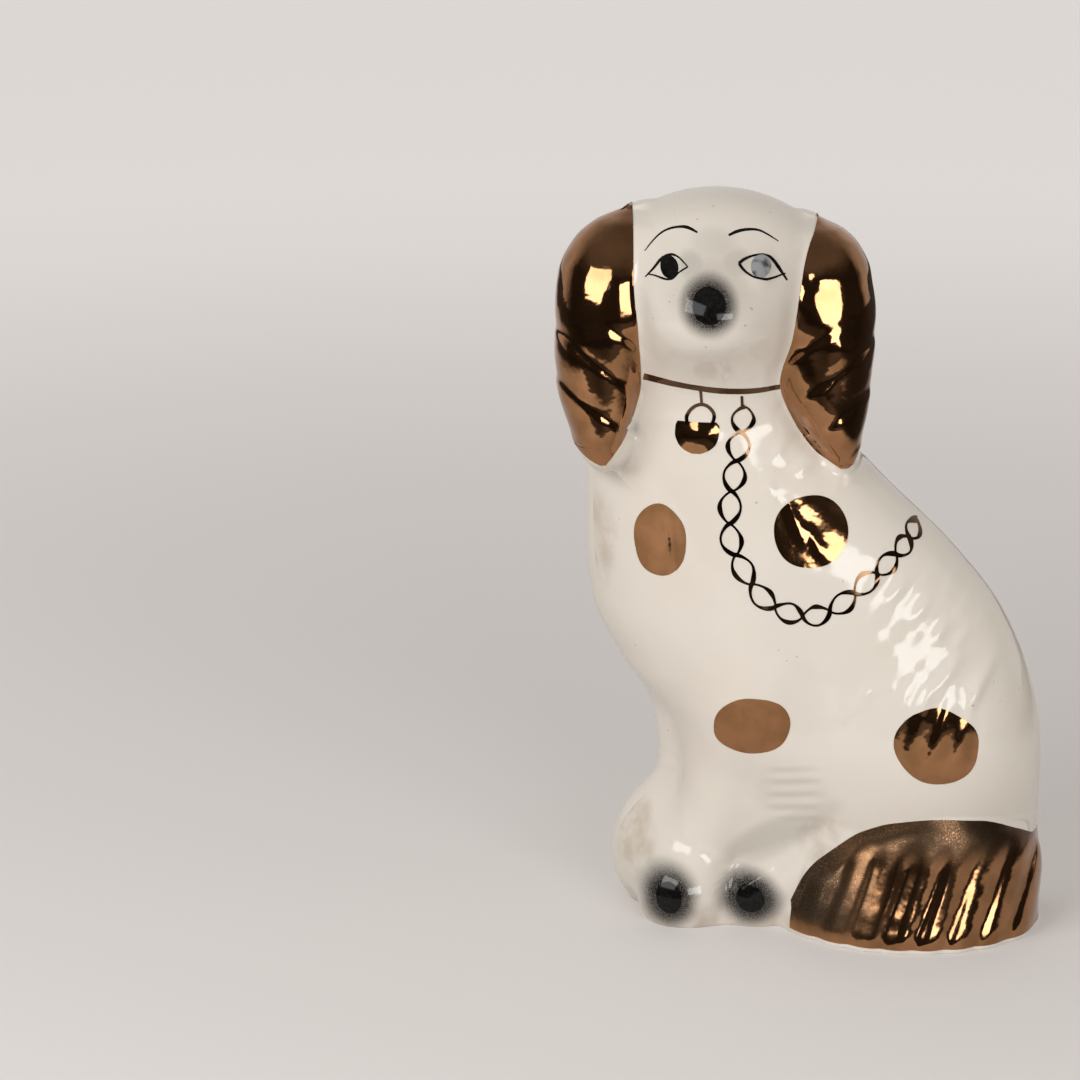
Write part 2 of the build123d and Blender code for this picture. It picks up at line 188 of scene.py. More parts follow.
@dataclass(frozen=True)
class Stack:
    """Mass of oval sections: each row is a height and the left, right, front and back edge there."""

    rows: Tuple[Tuple[float, float, float, float, float], ...]
    blend: float
    on_body: bool = True

    def distance(self, points: Array) -> Array:
        """Distance from the oval at the point's height, with the edges eased between the rows."""
        rows = np.array(self.rows)
        height = points[:, 2]
        left, right, near, far = eased(rows[:, 0], rows[:, 1:], height).T
        offset = points[:, :2] - np.stack((left + right, near + far), 1) / 2
        half = np.stack((right - left, far - near), 1) / 2
        scaled = np.linalg.norm(offset / half, axis=1) + TINY
        gradient = np.linalg.norm(offset / half**2, axis=1) + TINY
        beyond = np.maximum(height - rows[-1, 0], rows[0, 0] - height)
        return np.maximum(scaled * (scaled - 1) / gradient, beyond)


@dataclass(frozen=True)
class Tuft:
    """Long low swelling of the hair, seen from the front; its lean is from upright towards +X."""

    place: Place
    half_length: float
    half_width: float
    lean: float
    height: float
    on_body: bool = False

    def rise(self, across: Array, up: Array) -> Array:
        """Height of the tuft, a bell across its width and an eased hump along its length."""
        lean = np.radians(self.lean)
        x, z = across - self.place[0], up - self.place[1]
        along = (x * np.sin(lean) + z * np.cos(lean)) / self.half_length
        aside = (x * np.cos(lean) - z * np.sin(lean)) / self.half_width
        return self.height * np.exp(-(aside**2)) * np.clip(1 - along**2, 0, 1) ** 2


@dataclass(frozen=True)
class Ridges:
    """Slanted locks in a box of the front view.

    Attributes:
        across: Left and right edge of the box.
        up: Bottom and top edge of the box.
        slope: Rise of a ridge over its run.
        period: Distance from one ridge to the next, straight up.
        start: Height at which a ridge line would cross the figure's axis.
        depth: Depth of the grooves between the ridges.
        skew: How much wider the side of a ridge that faces down is, from 0 for an even wave.
        sharpness: Above 1 the grooves are narrower than the ridges.
        fades: Widths over which the locks die away towards the side and level edges.
        on_body: Whether the box lies in the axes of the body.
    """

    across: Place
    up: Place
    slope: float
    period: float
    start: float
    depth: float
    skew: float = 0.6
    sharpness: float = 1.0
    fades: Place = (5.0, 8.0)
    on_body: bool = False

    def rise(self, across: Array, up: Array) -> Array:
        """Height below the ridges: a skewed wave across the slant, which fades towards the box's edges."""
        turn = 2 * np.pi * (up - self.start - self.slope * across) / self.period
        groove = (0.5 - 0.5 * np.sin(turn - self.skew * np.sin(turn))) ** self.sharpness
        aside = np.minimum(across - self.across[0], self.across[1] - across)
        level = np.minimum(up - self.up[0], self.up[1] - up)
        fade = smooth_step(0, self.fades[0], aside) * smooth_step(0, self.fades[1], level)
        return -self.depth * groove * fade


@dataclass(frozen=True)
class Crease:
    """Soft groove along a line that is given by its heights and across, seen from the front."""

    edge: Path
    depth: float
    half_width: float
    fade: float = 9.0
    on_body: bool = False

    def rise(self, across: Array, up: Array) -> Array:
        """Height, a bell across the line that fades towards the line's ends."""
        table = np.array(self.edge)
        aside = (across - eased(table[:, 0], table[:, 1], up)[:, 0]) / self.half_width
        level = np.minimum(up - table[0, 0], table[-1, 0] - up)
        return -self.depth * np.exp(-(aside**2)) * smooth_step(0, self.fade, level)


@dataclass
class Form:
    """Whole outside of the figure as one distance field with modelled relief."""

    body_turn: float = 13.0
    foot_turn: float = 4.0
    turn_heights: Place = (15.0, 95.0)
    seam: float = 2.0
    torso: Stack = Stack(
        (
            (-6, -32, 84.5, -27, 38),
            (20, -34, 85, -29, 40),
            (45, -39, 85, -34, 41),
            (69, -47, 84, -37, 41),
            (90, -63.5, 80, -37, 40),
            (112, -74, 70.5, -36, 38),
            (133, -76, 54, -35, 35),
            (160, -75.5, 25.5, -33, 31),
            (180, -70, 8, -30, 28),
            (205, -60, 0, -26, 24),
            (228, -47, -13, -13, 11),
        ),
        0.0,
    )
    # skull, snout, haunch, near leg in two lengths, far leg, far paw, near paw, hind foot, foot between
    # the paws, tail, left ear and right ear
    masses: Tuple[Union[Egg, Limb, Stack], ...] = (
        Egg((-30.8, 0, 221), (43.5, 36, 36), 16, on_body=False),
        Egg((-33, -26, 220), (19, 23.5, 17), 14, on_body=False),
        Egg((40, -8, 62), (41, 30, 46), 9, roll=-12),
        Limb((-8, -9, 125), (-14, -14, 78), 24, 20, 12),
        Limb((-14, -14, 80), (-33, -8, 20), 19, 12.5, 6),
        Limb((-45, 2, 92), (-36, 4, 25), 9, 9, 8),
        Egg((-43, 5, 18.5), (22.5, 21, 25.5), 14),
        Egg((-39, -17, 9), (16, 14.5, 15), 8),
        Limb((18, -20, 32), (-12.5, -16, 9), 14, 12.5, 4),
        Limb((-36, -18.5, 1.0), (-14, -18.5, 1.0), 6, 6, 6),
        Stack(
            (
                (-8, -8, 85.5, -49.9, 30),
                (3, -8, 86.3, -49.6, 31),
                (10, -7.6, 86.5, -47.8, 31),
                (18, -5, 86.5, -45.4, 31),
                (27, 1, 85.5, -42.6, 30),
                (34, 8, 83, -40.5, 29),
                (40, 16, 78.5, -38.0, 27),
                (44.5, 26, 71, -35.4, 22),
                (48, 37, 61, -27, 10),
            ),
            3,
        ),
        Stack(
            (
                (162, -72, -66, -19, -6),
                (167, -76, -62.5, -25.5, -3),
                (177, -81, -58, -28.6, 3),
                (193, -85, -54, -29.4, 8),
                (205, -85.6, -52, -29.5, 11),
                (218, -85.4, -49, -28.5, 13),
                (230, -84, -46, -26, 13),
                (240, -79, -45, -21, 11),
                (246, -72, -47, -14, 8),
                (249, -64, -52, -6, 4),
                (250.2, -60, -56, -3, 1),
            ),
            8,
            on_body=False,
        ),
        Stack(
            (
                (162, 10, 15, -20, -6),
                (167, 6, 17.5, -25.5, -3),
                (180, -4, 20.5, -29.4, 3),
                (193, -11, 22, -30, 8),
                (205, -10.5, 23.2, -30, 11),
                (218, -11, 23, -28.5, 13),
                (230, -12, 21.2, -26, 13),
                (239, -9, 16.8, -21, 11),
                (243.5, -6, 11.5, -14, 8),
                (246, -2, 5, -6, 4),
                (247.2, 0.5, 2.5, -3, 1),
            ),
            8,
            on_body=False,
        ),
    )
    relief_fade: float = 12.0
    relief_reach: float = 8.0
    hair: Tuple[Union[Tuft, Ridges, Crease], ...] = (
        # edges and locks of the ears
        Crease(LEFT_EAR_EDGE, 1.5, 4.0),
        Crease(RIGHT_EAR_EDGE, 1.5, 4.0),
        Ridges((-96, -54), (160, 218), -0.72, 16.0, 156.0, 0.5, 0.5, 2.0),
        Ridges((-96, -54), (160, 232), 0.5, 31.0, 170.0, 0.35, 0.3),
        Ridges((-12, 34), (158, 218), 0.72, 16.0, 198.0, 0.4, 0.5, 2.0),
        Ridges((-12, 34), (158, 232), -1.4, 27.0, 186.0, 0.4, 0.3),
        # waves on the back, outline of the haunch, ribs, and waves under the haunch spot
        Ridges((14, 70), (82, 142), 1.3, 13.5, 3.0, 0.16, 0.3, 1.0, (18.0, 18.0)),
        Ridges((14, 70), (82, 142), -0.8, 15.0, 3.0, 0.16, 0.3, 1.0, (18.0, 18.0)),
        Crease(((36, 17), (46, 8.5), (55, 4.5), (64, 4), (74, 7), (84, 13)), 0.6, 6.0),
        Ridges((-14, 8), (38, 66), 0.15, 5.0, 42.0, 0.4, 0.0, 1.0, (6.0, 7.0)),
        Ridges((28, 62), (60, 98), 3.2, 27.0, 5.0, 0.45, 0.3, 1.0, (7.0, 10.0)),
        # crease of the chest, shoulder and raised padlock
        Tuft((-45.4, 139.0), 15.0, 1.4, -4, -0.4),
        Tuft((-4.0, 148.0), 11.0, 2.0, -22, 0.6),
        Tuft((3.0, 141.0), 10.0, 2.2, -30, 0.5),
        Tuft((-37.4, 176.0), 8.0, 7.0, 0, 1.6),
        # flutes of the tail
        Ridges((0, 90), (-8, 38), 2.75, 29.8, 17.1, 0.95, 0.0, 1.6, (4.0, 11.0), on_body=True),
        # tufts of the haunch, back and neck, and a line on the shoulder
        Tuft((18.7, 88.3), 7.0, 2.2, 25, 0.8),
        Tuft((14.1, 83.9), 6.0, 2.0, 20, 0.6),
        Tuft((39.8, 89.1), 8.0, 2.2, 30, 0.8),
        Tuft((47.5, 96.8), 11.0, 2.4, 38, 1.0),
        Tuft((59.7, 94.3), 12.0, 2.4, 40, 1.0),
        Tuft((57.0, 88.5), 8.0, 2.0, 38, 0.7),
        Tuft((52.3, 107.3), 8.0, 2.0, 42, 0.7),
        Tuft((45.2, 110.5), 8.0, 2.2, 38, 0.8),
        Tuft((39.0, 118.2), 8.0, 2.2, 40, 0.8),
        Tuft((30.3, 124.5), 8.0, 2.2, 42, 0.7),
        Tuft((23.5, 128.7), 7.0, 2.0, 42, 0.7),
        Tuft((-12.9, 158.7), 7.0, 2.4, -25, 0.8),
        Tuft((-8.7, 171.4), 6.0, 2.4, 20, 0.7),
        Tuft((-0.9, 166.2), 7.0, 2.4, 55, 0.7),
        Tuft((27.7, 154.2), 11.0, 1.0, -47, 0.25),
        # eyeballs
        Tuft((-48.3, 236.0), 9.0, 5.0, 0, 1.1),
        Tuft((-17.2, 236.0), 9.0, 5.0, 0, 1.1),
    )

    def body_axes(self, points: Array) -> Array:
        """Points in the axes of the body, which turns less at the foot than above it."""
        share = smooth_step(*self.turn_heights, points[:, 2])
        return turned(points, -self.foot_turn - share * (self.body_turn - self.foot_turn))

    def relief(self, points: Array, on_body: Array) -> Array:
        """Height of the modelled hair, which dies away from the front towards the seam."""
        rise = np.zeros(len(points))
        for lock in self.hair:
            rise += lock.rise((on_body if lock.on_body else points)[:, 0], points[:, 2])
        return rise * np.clip((self.seam - points[:, 1]) / self.relief_fade, 0, 1)

    def distance(self, points: Array) -> Array:
        """Distance from the blended masses, less the relief, which is read near the surface alone."""
        on_body = self.body_axes(points)
        found = self.torso.distance(on_body)
        for mass in self.masses:
            found = smooth_min(found, mass.distance(on_body if mass.on_body else points), mass.blend)
        near = found < self.relief_reach
        found[near] -= self.relief(points[near], on_body[near])
        return found

    def hit(
        self, start: Array, along: Array, steps: int = 80, halvings: int = 13, settlings: int = 4
    ) -> Array:
        """First place on the form along each ray.

        Args:
            start: Outside starting places.
            along: Unit directions towards the form.
            steps: Most steps of a ray.
            halvings: Halvings of the last step, once it has met the form.
            settlings: Moves that bring a ray which skims the form onto it.

        Returns:
            One place per ray; a ray that only skims the form gives the surface nearest to it.
        """
        travel, before = np.zeros(len(start)), np.zeros(len(start))
        least, nearest = np.full(len(start), np.inf), np.zeros(len(start))
        live = np.arange(len(start))
        for _ in range(steps):
            gap = self.distance(start[live] + along[live] * travel[live, None])
            closer = gap < least[live]
            nearest[live[closer]], least[live[closer]] = travel[live[closer]], gap[closer]
            ahead = gap > NEAR
            live, gap = live[ahead], gap[ahead]
            if not len(live):
                break
            before[live] = travel[live]
            travel[live] += gap * STEP_SHARE
        for _ in range(halvings):
            middle = (before + travel) / 2
            inside = self.distance(start + along * middle[:, None]) < 0
            before, travel = np.where(inside, before, middle), np.where(inside, middle, travel)
        travel[live] = nearest[live]
        places = start + along * travel[:, None]
        for _ in range(settlings if len(live) else 0):
            places[live] -= self.normal(places[live]) * self.distance(places[live])[:, None]
        return places

    def met(self, start: Array, along: Array) -> Array:
        """First places on the form along a grid of rays."""
        return self.hit(start.reshape(-1, 3), along.reshape(-1, 3)).reshape(start.shape)

    def normal(self, points: Array, reach: float = 0.35) -> Array:
        """Outward unit normals, from differences of the field to either side."""
        sides = [(points + reach * axis, points - reach * axis) for axis in np.eye(3)]
        slope = np.stack([self.distance(far) - self.distance(near) for far, near in sides], 1)
        return slope / (np.linalg.norm(slope, axis=1, keepdims=True) + FAINT)


def linked(name: str, data: bpy.types.ID) -> bpy.types.Object:
    """New object of the scene."""
    made = bpy.data.objects.new(name, data)
    bpy.context.scene.collection.objects.link(made)
    return made


def grid_faces(rows: int, columns: int, first: int = 0, wraps: bool = False) -> Array:
    """Four-sided faces of a grid of points that is stored row by row."""
    row = np.arange(rows - 1)[:, None]
    column = np.arange(columns if wraps else columns - 1)[None]
    after = (column + 1) % columns
    low = first + row * columns
    high = low + columns
    return np.stack((low + column, low + after, high + after, high + column), -1).reshape(-1, 4)


@dataclass
class Workshop:
    """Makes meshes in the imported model's frame and dresses them.

    Attributes:
        stand: Where the figure's own origin lies in the model's frame.
    """

    stand: Array

    def piece(
        self,
        name: str,
        points: Array,
        faces: Iterable[Sequence[int]],
        normals: Array,
        finish: bpy.types.Material,
        slot: Slot,
        nodes: Sequence[str],
        marks: Optional[dict] = None,
    ) -> bpy.types.Object:
        """slot: Not used. Material slot that it takes its finish from.
            nodes: CAD nodes that it stands for.
            marks: Values of each point by attribute name, if any.

        Returns:
            The piece, at the origin with its place in its mesh.
        """
        mesh = bpy.data.meshes.new(name)
        mesh.from_pydata((points + self.stand) * METRES, [], [list(face) for face in faces])
        mesh.shade_smooth()
        for mark, values in (marks or {}).items():
            mesh.attributes.new(mark, "FLOAT", "POINT").data.foreach_set("value", values.astype(np.float32))
        mesh.materials.append(finish)
        mesh.validate()
        mesh.normals_split_custom_set_from_vertices(normals)
        made = linked(name, mesh)
        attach(made, BODY)
        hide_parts(*nodes)
        log.info("%s: %d points", name, len(points))
        return made


@dataclass(frozen=True)
class Spray:
    """Soft sprayed or stained place on the glaze, seen from the front."""

    place: Place
    half_sizes: Place
    strength: float
    lean: float = 0.0
    eases: Place = (0.3, 1.25)

    def share(self, points: Array) -> Array:
        """Cover at points: full in the middle, easing out to nothing past the half sizes."""
        offset = turned(points[:, (0, 2)] - self.place, self.lean) / np.array(self.half_sizes)
        return self.strength * (1 - smooth_step(*self.eases, np.linalg.norm(offset, axis=1)) ** 2)


@dataclass
class Casting:
    """The two hollow halves of the clay body, cast on rays from an upright spine in the seam plane.

    Each ray goes through a place round the spine at the aim radius. Rays to the front come from a place
    set back behind the spine, so that they also see the inner sides of the ears.

    Attributes:
        form: Form that is cast.
        shop: Maker of the meshes.
        finish: Material of the glaze.
        spine_heights: Heights at which the spine's across is given.
        spine_across: Across of the spine there.
        aim_radius: Radius round the spine through which the rays go.
        setback: How far behind the spine the rays to the front come from.
        reach: Length of the rays beyond the aim radius.
        front_columns: Columns of rays on the front half.
        back_columns: Columns of rays on the back half.
        wall_start: Lowest height of the wall's rows.
        wall_rows: Rows of level rays.
        crown_rows: Rows of rays that fan out over the head.
        foot_heights: Heights of the rounded foot edge's rows.
        foot_insets: How far each of those rows lies inside the wall.
        foot_lean: Share of the wall's normal in that of the lowest row.
        slab_wall: Clay between the open foot and the outside.
        hollow_height: Height of the open foot.
        above: Height over the head from which its top is found.
        soot_and_shade: Sprayed black of the nose and toes, and painted shade in the creases and hollows of
            the face, hind foot, ribs and flank.
        tea: Brown stains.
    """

    form: Form
    shop: Workshop
    finish: bpy.types.Material
    spine_heights: Tuple[float, ...] = (0.0, 60.0, 110.0, 160.0, 214.0)
    spine_across: Tuple[float, ...] = (16.0, 12.0, -8.0, -28.0, -30.0)
    aim_radius: float = 60.0
    setback: float = 75.0
    reach: float = 75.0
    front_columns: int = 281
    back_columns: int = 141
    wall_start: float = 1.7
    wall_rows: int = 262
    crown_rows: int = 74
    foot_heights: Tuple[float, ...] = (0.0, 0.25, 0.8)
    foot_insets: Tuple[float, ...] = (0.9, 0.3, 0.0)
    foot_lean: float = 0.3
    slab_wall: float = 5.0
    hollow_height: float = 30.0
    above: float = 400.0
    soot_and_shade: Tuple[Spray, ...] = (
        # black sprayed soft on the nose and toes, with a grey halo round the nose
        Spray((-35.0, 225.6), (9.8, 10.2), 1.0),
        Spray((-45.6, 11.5), (10.0, 11.0), 1.0),
        Spray((-17.2, 11.0), (11.0, 10.0), 1.0),
        Spray((-35.0, 229.0), (14.0, 12.0), 0.20),
        # painted shade: inner eye corners, under the right upper lid, between the brows, along the mouth, in
        # the crease above the hind foot, over the ribs and on the flank
        Spray((-40.4, 236.6), (5.0, 5.0), 0.26),
        Spray((-25.6, 237.6), (6.0, 4.5), 0.20),
        Spray((-17.4, 236.4), (6.0, 3.6), 0.16),
        Spray((-33.0, 243.0), (8.0, 5.0), 0.12),
        Spray((-33.5, 207.4), (13.0, 3.2), 0.08),
        Spray((-8.0, 35.0), (24.0, 6.5), 0.22, 36.0),
        Spray((-4.0, 51.0), (12.0, 12.0), 0.10),
        Spray((-3.0, 88.0), (9.0, 14.0), 0.05),
    )
    tea: Tuple[Spray, ...] = (
        Spray((-57.0, 28.0), (7.0, 16.0), 0.45),
        Spray((8.0, 35.0), (9.0, 10.0), 0.40),
        Spray((-71.0, 134.0), (7.0, 18.0), 0.35),
        Spray((-34.0, 3.0), (34.0, 6.0), 0.35),
    )

    def spine(self, height: Array) -> Array:
        """Places on the spine at heights, held at its top in the head."""
        across = np.interp(height, self.spine_heights, self.spine_across)
        level = np.minimum(height, self.spine_heights[-1])
        return np.stack((across, np.full_like(across, self.form.seam), level), -1)

    def outside(self, turns: Array) -> Array:
        """Rows of surface places from the foot to the crown, without the crown's one top point."""
        top = self.spine_heights[-1]
        heights = np.concatenate((self.foot_heights, np.linspace(self.wall_start, top, self.wall_rows)))
        rise = np.radians(np.linspace(0, 90, self.crown_rows + 1)[1:-1])
        lifts = np.concatenate((np.zeros_like(heights), rise))
        heights = np.concatenate((heights, np.full_like(rise, top)))
        lift, turn = np.meshgrid(lifts, turns, indexing="ij")
        along = direction(turn, lift)
        aim = self.spine(np.repeat(heights[:, None], len(turns), 1)) + self.aim_radius * along
        along *= self.aim_radius
        along[..., 1] -= self.setback * np.clip(-np.sin(turn), 0, 1) ** 2 * np.cos(lift) ** 2
        along /= np.linalg.norm(along, axis=-1, keepdims=True)
        start = aim + self.reach * along
        places = self.form.met(start, -along)
        edge = len(self.foot_heights)
        places[:edge, :, :2] = places[edge - 1, :, :2]
        places[:edge] -= np.array(self.foot_insets)[:, None, None] * along[:edge]
        places[:edge, :, 2] = np.array(self.foot_heights)[:, None]
        return places

    def half(self, name: str, first: float, last: float, columns: int) -> bpy.types.Object:
        """One half of the casting: its outside, foot rim, open foot and flat seam face.

        Args:
            name: CAD node that the piece stands for.
            first: Turn of the first column, in degrees from +X.
            last: Turn of the last column.
            columns: Columns of rays.

        Returns:
            The closed piece.
        """
        turns = np.radians(np.linspace(first, last, columns))
        outside = self.outside(turns)
        rows = len(outside)
        axis = self.spine(np.zeros(1))
        inner_rim = axis + direction(turns) * self.opening(turns)[:, None]
        hollow = np.array((0, 0, self.hollow_height))
        over = self.spine(np.array(self.spine_heights[-1:])) * (1, 1, 0) + (0, 0, self.above)
        crown = self.form.hit(over, np.array([[0, 0, -1.0]]))
        roof = inner_rim + hollow
        points = np.concatenate((roof, inner_rim, outside.reshape(-1, 3), crown, axis + hollow))
        faces = grid_faces(rows + 2, columns)
        top_row = (rows + 1) * columns
        column = np.arange(columns - 1)
        crown_at, roof_at = len(points) - 2, len(points) - 1
        caps = np.concatenate(
            (
                np.stack((top_row + column, top_row + column + 1, np.full_like(column, crown_at)), 1),
                np.stack((column + 1, column, np.full_like(column, roof_at)), 1),
            )
        )
        ends = np.arange(rows + 2) * columns
        seam_face = [roof_at, *ends, crown_at, *(ends + columns - 1)[::-1]]
        normals = self.form.normal(points)
        normals[: 2 * columns] = (0, 0, -1)
        foot = slice(2 * columns, 3 * columns)
        normals[foot] = normals[foot] * self.foot_lean - (0, 0, 1)
        normals[-1] = (0, 0, -1)
        normals /= np.linalg.norm(normals, axis=1, keepdims=True)
        front = points[:, 1] < self.form.seam
        marks = {
            "soot_and_shade": front * np.max([spray.share(points) for spray in self.soot_and_shade], axis=0),
            "tea": front * np.max([spray.share(points) for spray in self.tea], axis=0),
        }
        return self.shop.piece(
            f"{name}_glazed",
            points,
            [*faces.tolist(), *caps.tolist(), seam_face],
            normals,
            self.finish,
            Slot.GLAZE,
            [name],
            marks,
        )

    def opening(self, turns: Array) -> Array:
        """Distance from the spine to the edge of the open foot, an oval in the torso's lowest section."""
        left, right, near, far = np.array(self.form.torso.rows[0][1:])
        half = np.array((right - left, far - near)) / 2 - self.slab_wall
        axis = self.form.body_axes(self.spine(np.zeros(1)))[0, :2]
        offset = (axis - np.array((left + right, near + far)) / 2) / half
        ray = turned(direction(turns), -self.form.foot_turn)[:, :2] / half
        a, b, c = (ray**2).sum(1), ray @ offset, offset @ offset - 1
        return (-b + np.sqrt(b * b - a * c)) / a

    def build(self) -> None:
        """Make both halves."""
        self.half("front_half", -180, 0, self.front_columns)
        self.half("back_half", 0, 180, self.back_columns)


@dataclass
class Painter:
    """Lays fired coats on the form as thin closed sheets.

    Attributes:
        form: Form that carries the coats.
        shop: Maker of the meshes.
        lift: How far a coat stands above the glaze.
        bury: How far its underside lies below the glaze.
    """

    form: Form
    shop: Workshop
    lift: float = 0.15
    bury: float = 0.6

    def seen(self, across: Array, up: Array) -> Array:
        """Places on the front of the form at an across and a height, met by level rays along +Y."""
        start = np.stack((across, np.full_like(across, FRONT_START), up), -1)
        return self.form.met(start, np.broadcast_to((0.0, 1.0, 0.0), start.shape))

    def coat(
        self,
        node: str,
        grids: Sequence[Array],
        finish: bpy.types.Material,
        slot: Slot,
        rise: float = 0.0,
        marks: Optional[Callable[[Array], dict]] = None,
    ) -> bpy.types.Object:
        """One coat of closed sheets: each has a top, an underside and a rim that joins them.

        Args:
            node: CAD node that the coat stands for.
            grids: Places on the form, rows of points that rise while the columns go to the right.
            finish: Material of the coat.
            slot: Material slot of the record, handed on to the piece.
            rise: Further lift of each next sheet, so that a later stroke lies over an earlier one.
            marks: Gives values of each point by attribute name, if any.

        Returns:
            The piece.
        """
        points, normals, faces, first = [], [], [], 0
        for number, grid in enumerate(grids):
            rows, columns = grid.shape[:2]
            flat = grid.reshape(-1, 3)
            out = self.form.normal(flat)
            points += [flat + out * (self.lift + rise * number), flat - out * self.bury]
            normals += [out, -out]
            top = grid_faces(rows, columns, first)
            count = rows * columns
            index = np.arange(count).reshape(rows, columns) + first
            edge = np.concatenate((index[0], index[1:, -1], index[-1, -2::-1], index[-2:0:-1, 0]))
            after = np.roll(edge, -1)
            faces += [top, top[:, ::-1] + count, np.stack((after, edge, edge + count, after + count), 1)]
            first += 2 * count
        places = np.concatenate(points)
        return self.shop.piece(
            f"{node}_coat",
            places,
            np.concatenate(faces).tolist(),
            np.concatenate(normals),
            finish,
            slot,
            [node],
            marks(places) if marks else None,
        )

    def stroke(self, path: Array, widths: Array, across_count: int = 5) -> Array:
        """Grid of a brush line of a width along a path of across and height places."""
        along = np.gradient(path, axis=0)
        along /= np.linalg.norm(along, axis=1, keepdims=True) + FAINT
        aside = np.stack((-along[:, 1], along[:, 0]), 1)
        share = np.linspace(-0.5, 0.5, across_count)[:, None, None]
        line = path[None] + share * widths[None, :, None] * aside[None]
        return self.seen(line[..., 0], line[..., 1])

    def line(
        self, path: Union[Array, Sequence[Place]], widths: Union[float, Array], count: int = 60
    ) -> Array:
        """Grid of a brush line through a few places, of one width or of widths along it."""
        knots = np.linspace(0, 1, len(path))
        at = np.linspace(0, 1, count)
        width = np.interp(at, np.linspace(0, 1, np.size(widths)), np.atleast_1d(widths))
        return self.stroke(eased(knots, np.array(path), at, free=True), width)

    def brushed(self, rows: Rows) -> Array:
        """Grid of a brush line through rows of an across, a height and a width."""
        table = np.array(rows)
        return self.line(table[:, :2], table[:, 2])

    def patch(
        self, place: Place, half_sizes: Place, lean: float, wobble: float, seed: int, count: int = 41
    ) -> Array:
        """Grid of a round brushed patch.

        Args:
            place: Across and height of the middle.
            half_sizes: Half width and half height before the lean.
            lean: Turn in degrees, anticlockwise as seen.
            wobble: How far the brushed edge strays, as a share of the size.
            seed: Seed of the stray.
            count: Points along each side of the grid.

        Returns:
            Places on the form.
        """
        line = np.linspace(-1, 1, count)
        v, u = np.meshgrid(line, line, indexing="ij")
        x, z = u * np.sqrt(1 - v * v / 2), v * np.sqrt(1 - u * u / 2)
        angle, random = np.arctan2(z, x), np.random.default_rng(seed)
        waves = range(2, 8)
        stray = sum(random.normal() / n * np.cos(n * angle + random.uniform(0, 2 * np.pi)) for n in waves)
        x, z = (x * half_sizes[0], z * half_sizes[1]) * (1 + wobble * stray * np.hypot(x, z))
        c, s = np.cos(np.radians(lean)), np.sin(np.radians(lean))
        return self.seen(place[0] + x * c - z * s, place[1] + x * s + z * c)

    def panel(self, rows: Rows, up_count: int, across_count: int) -> Array:
        """Grid between a left and a right edge that are given at heights, finer towards every edge."""
        table = np.array(rows)
        up = table[0, 0] + (table[-1, 0] - table[0, 0]) * (1 - np.cos(np.linspace(0, np.pi, up_count))) / 2
        left, right = eased(table[:, 0], table[:, 1:], up).T
        share = (1 - np.cos(np.linspace(0, np.pi, across_count))) / 2
        across = left[:, None] + (right - left)[:, None] * share[None]
        return self.seen(across, np.repeat(up[:, None], across_count, 1))


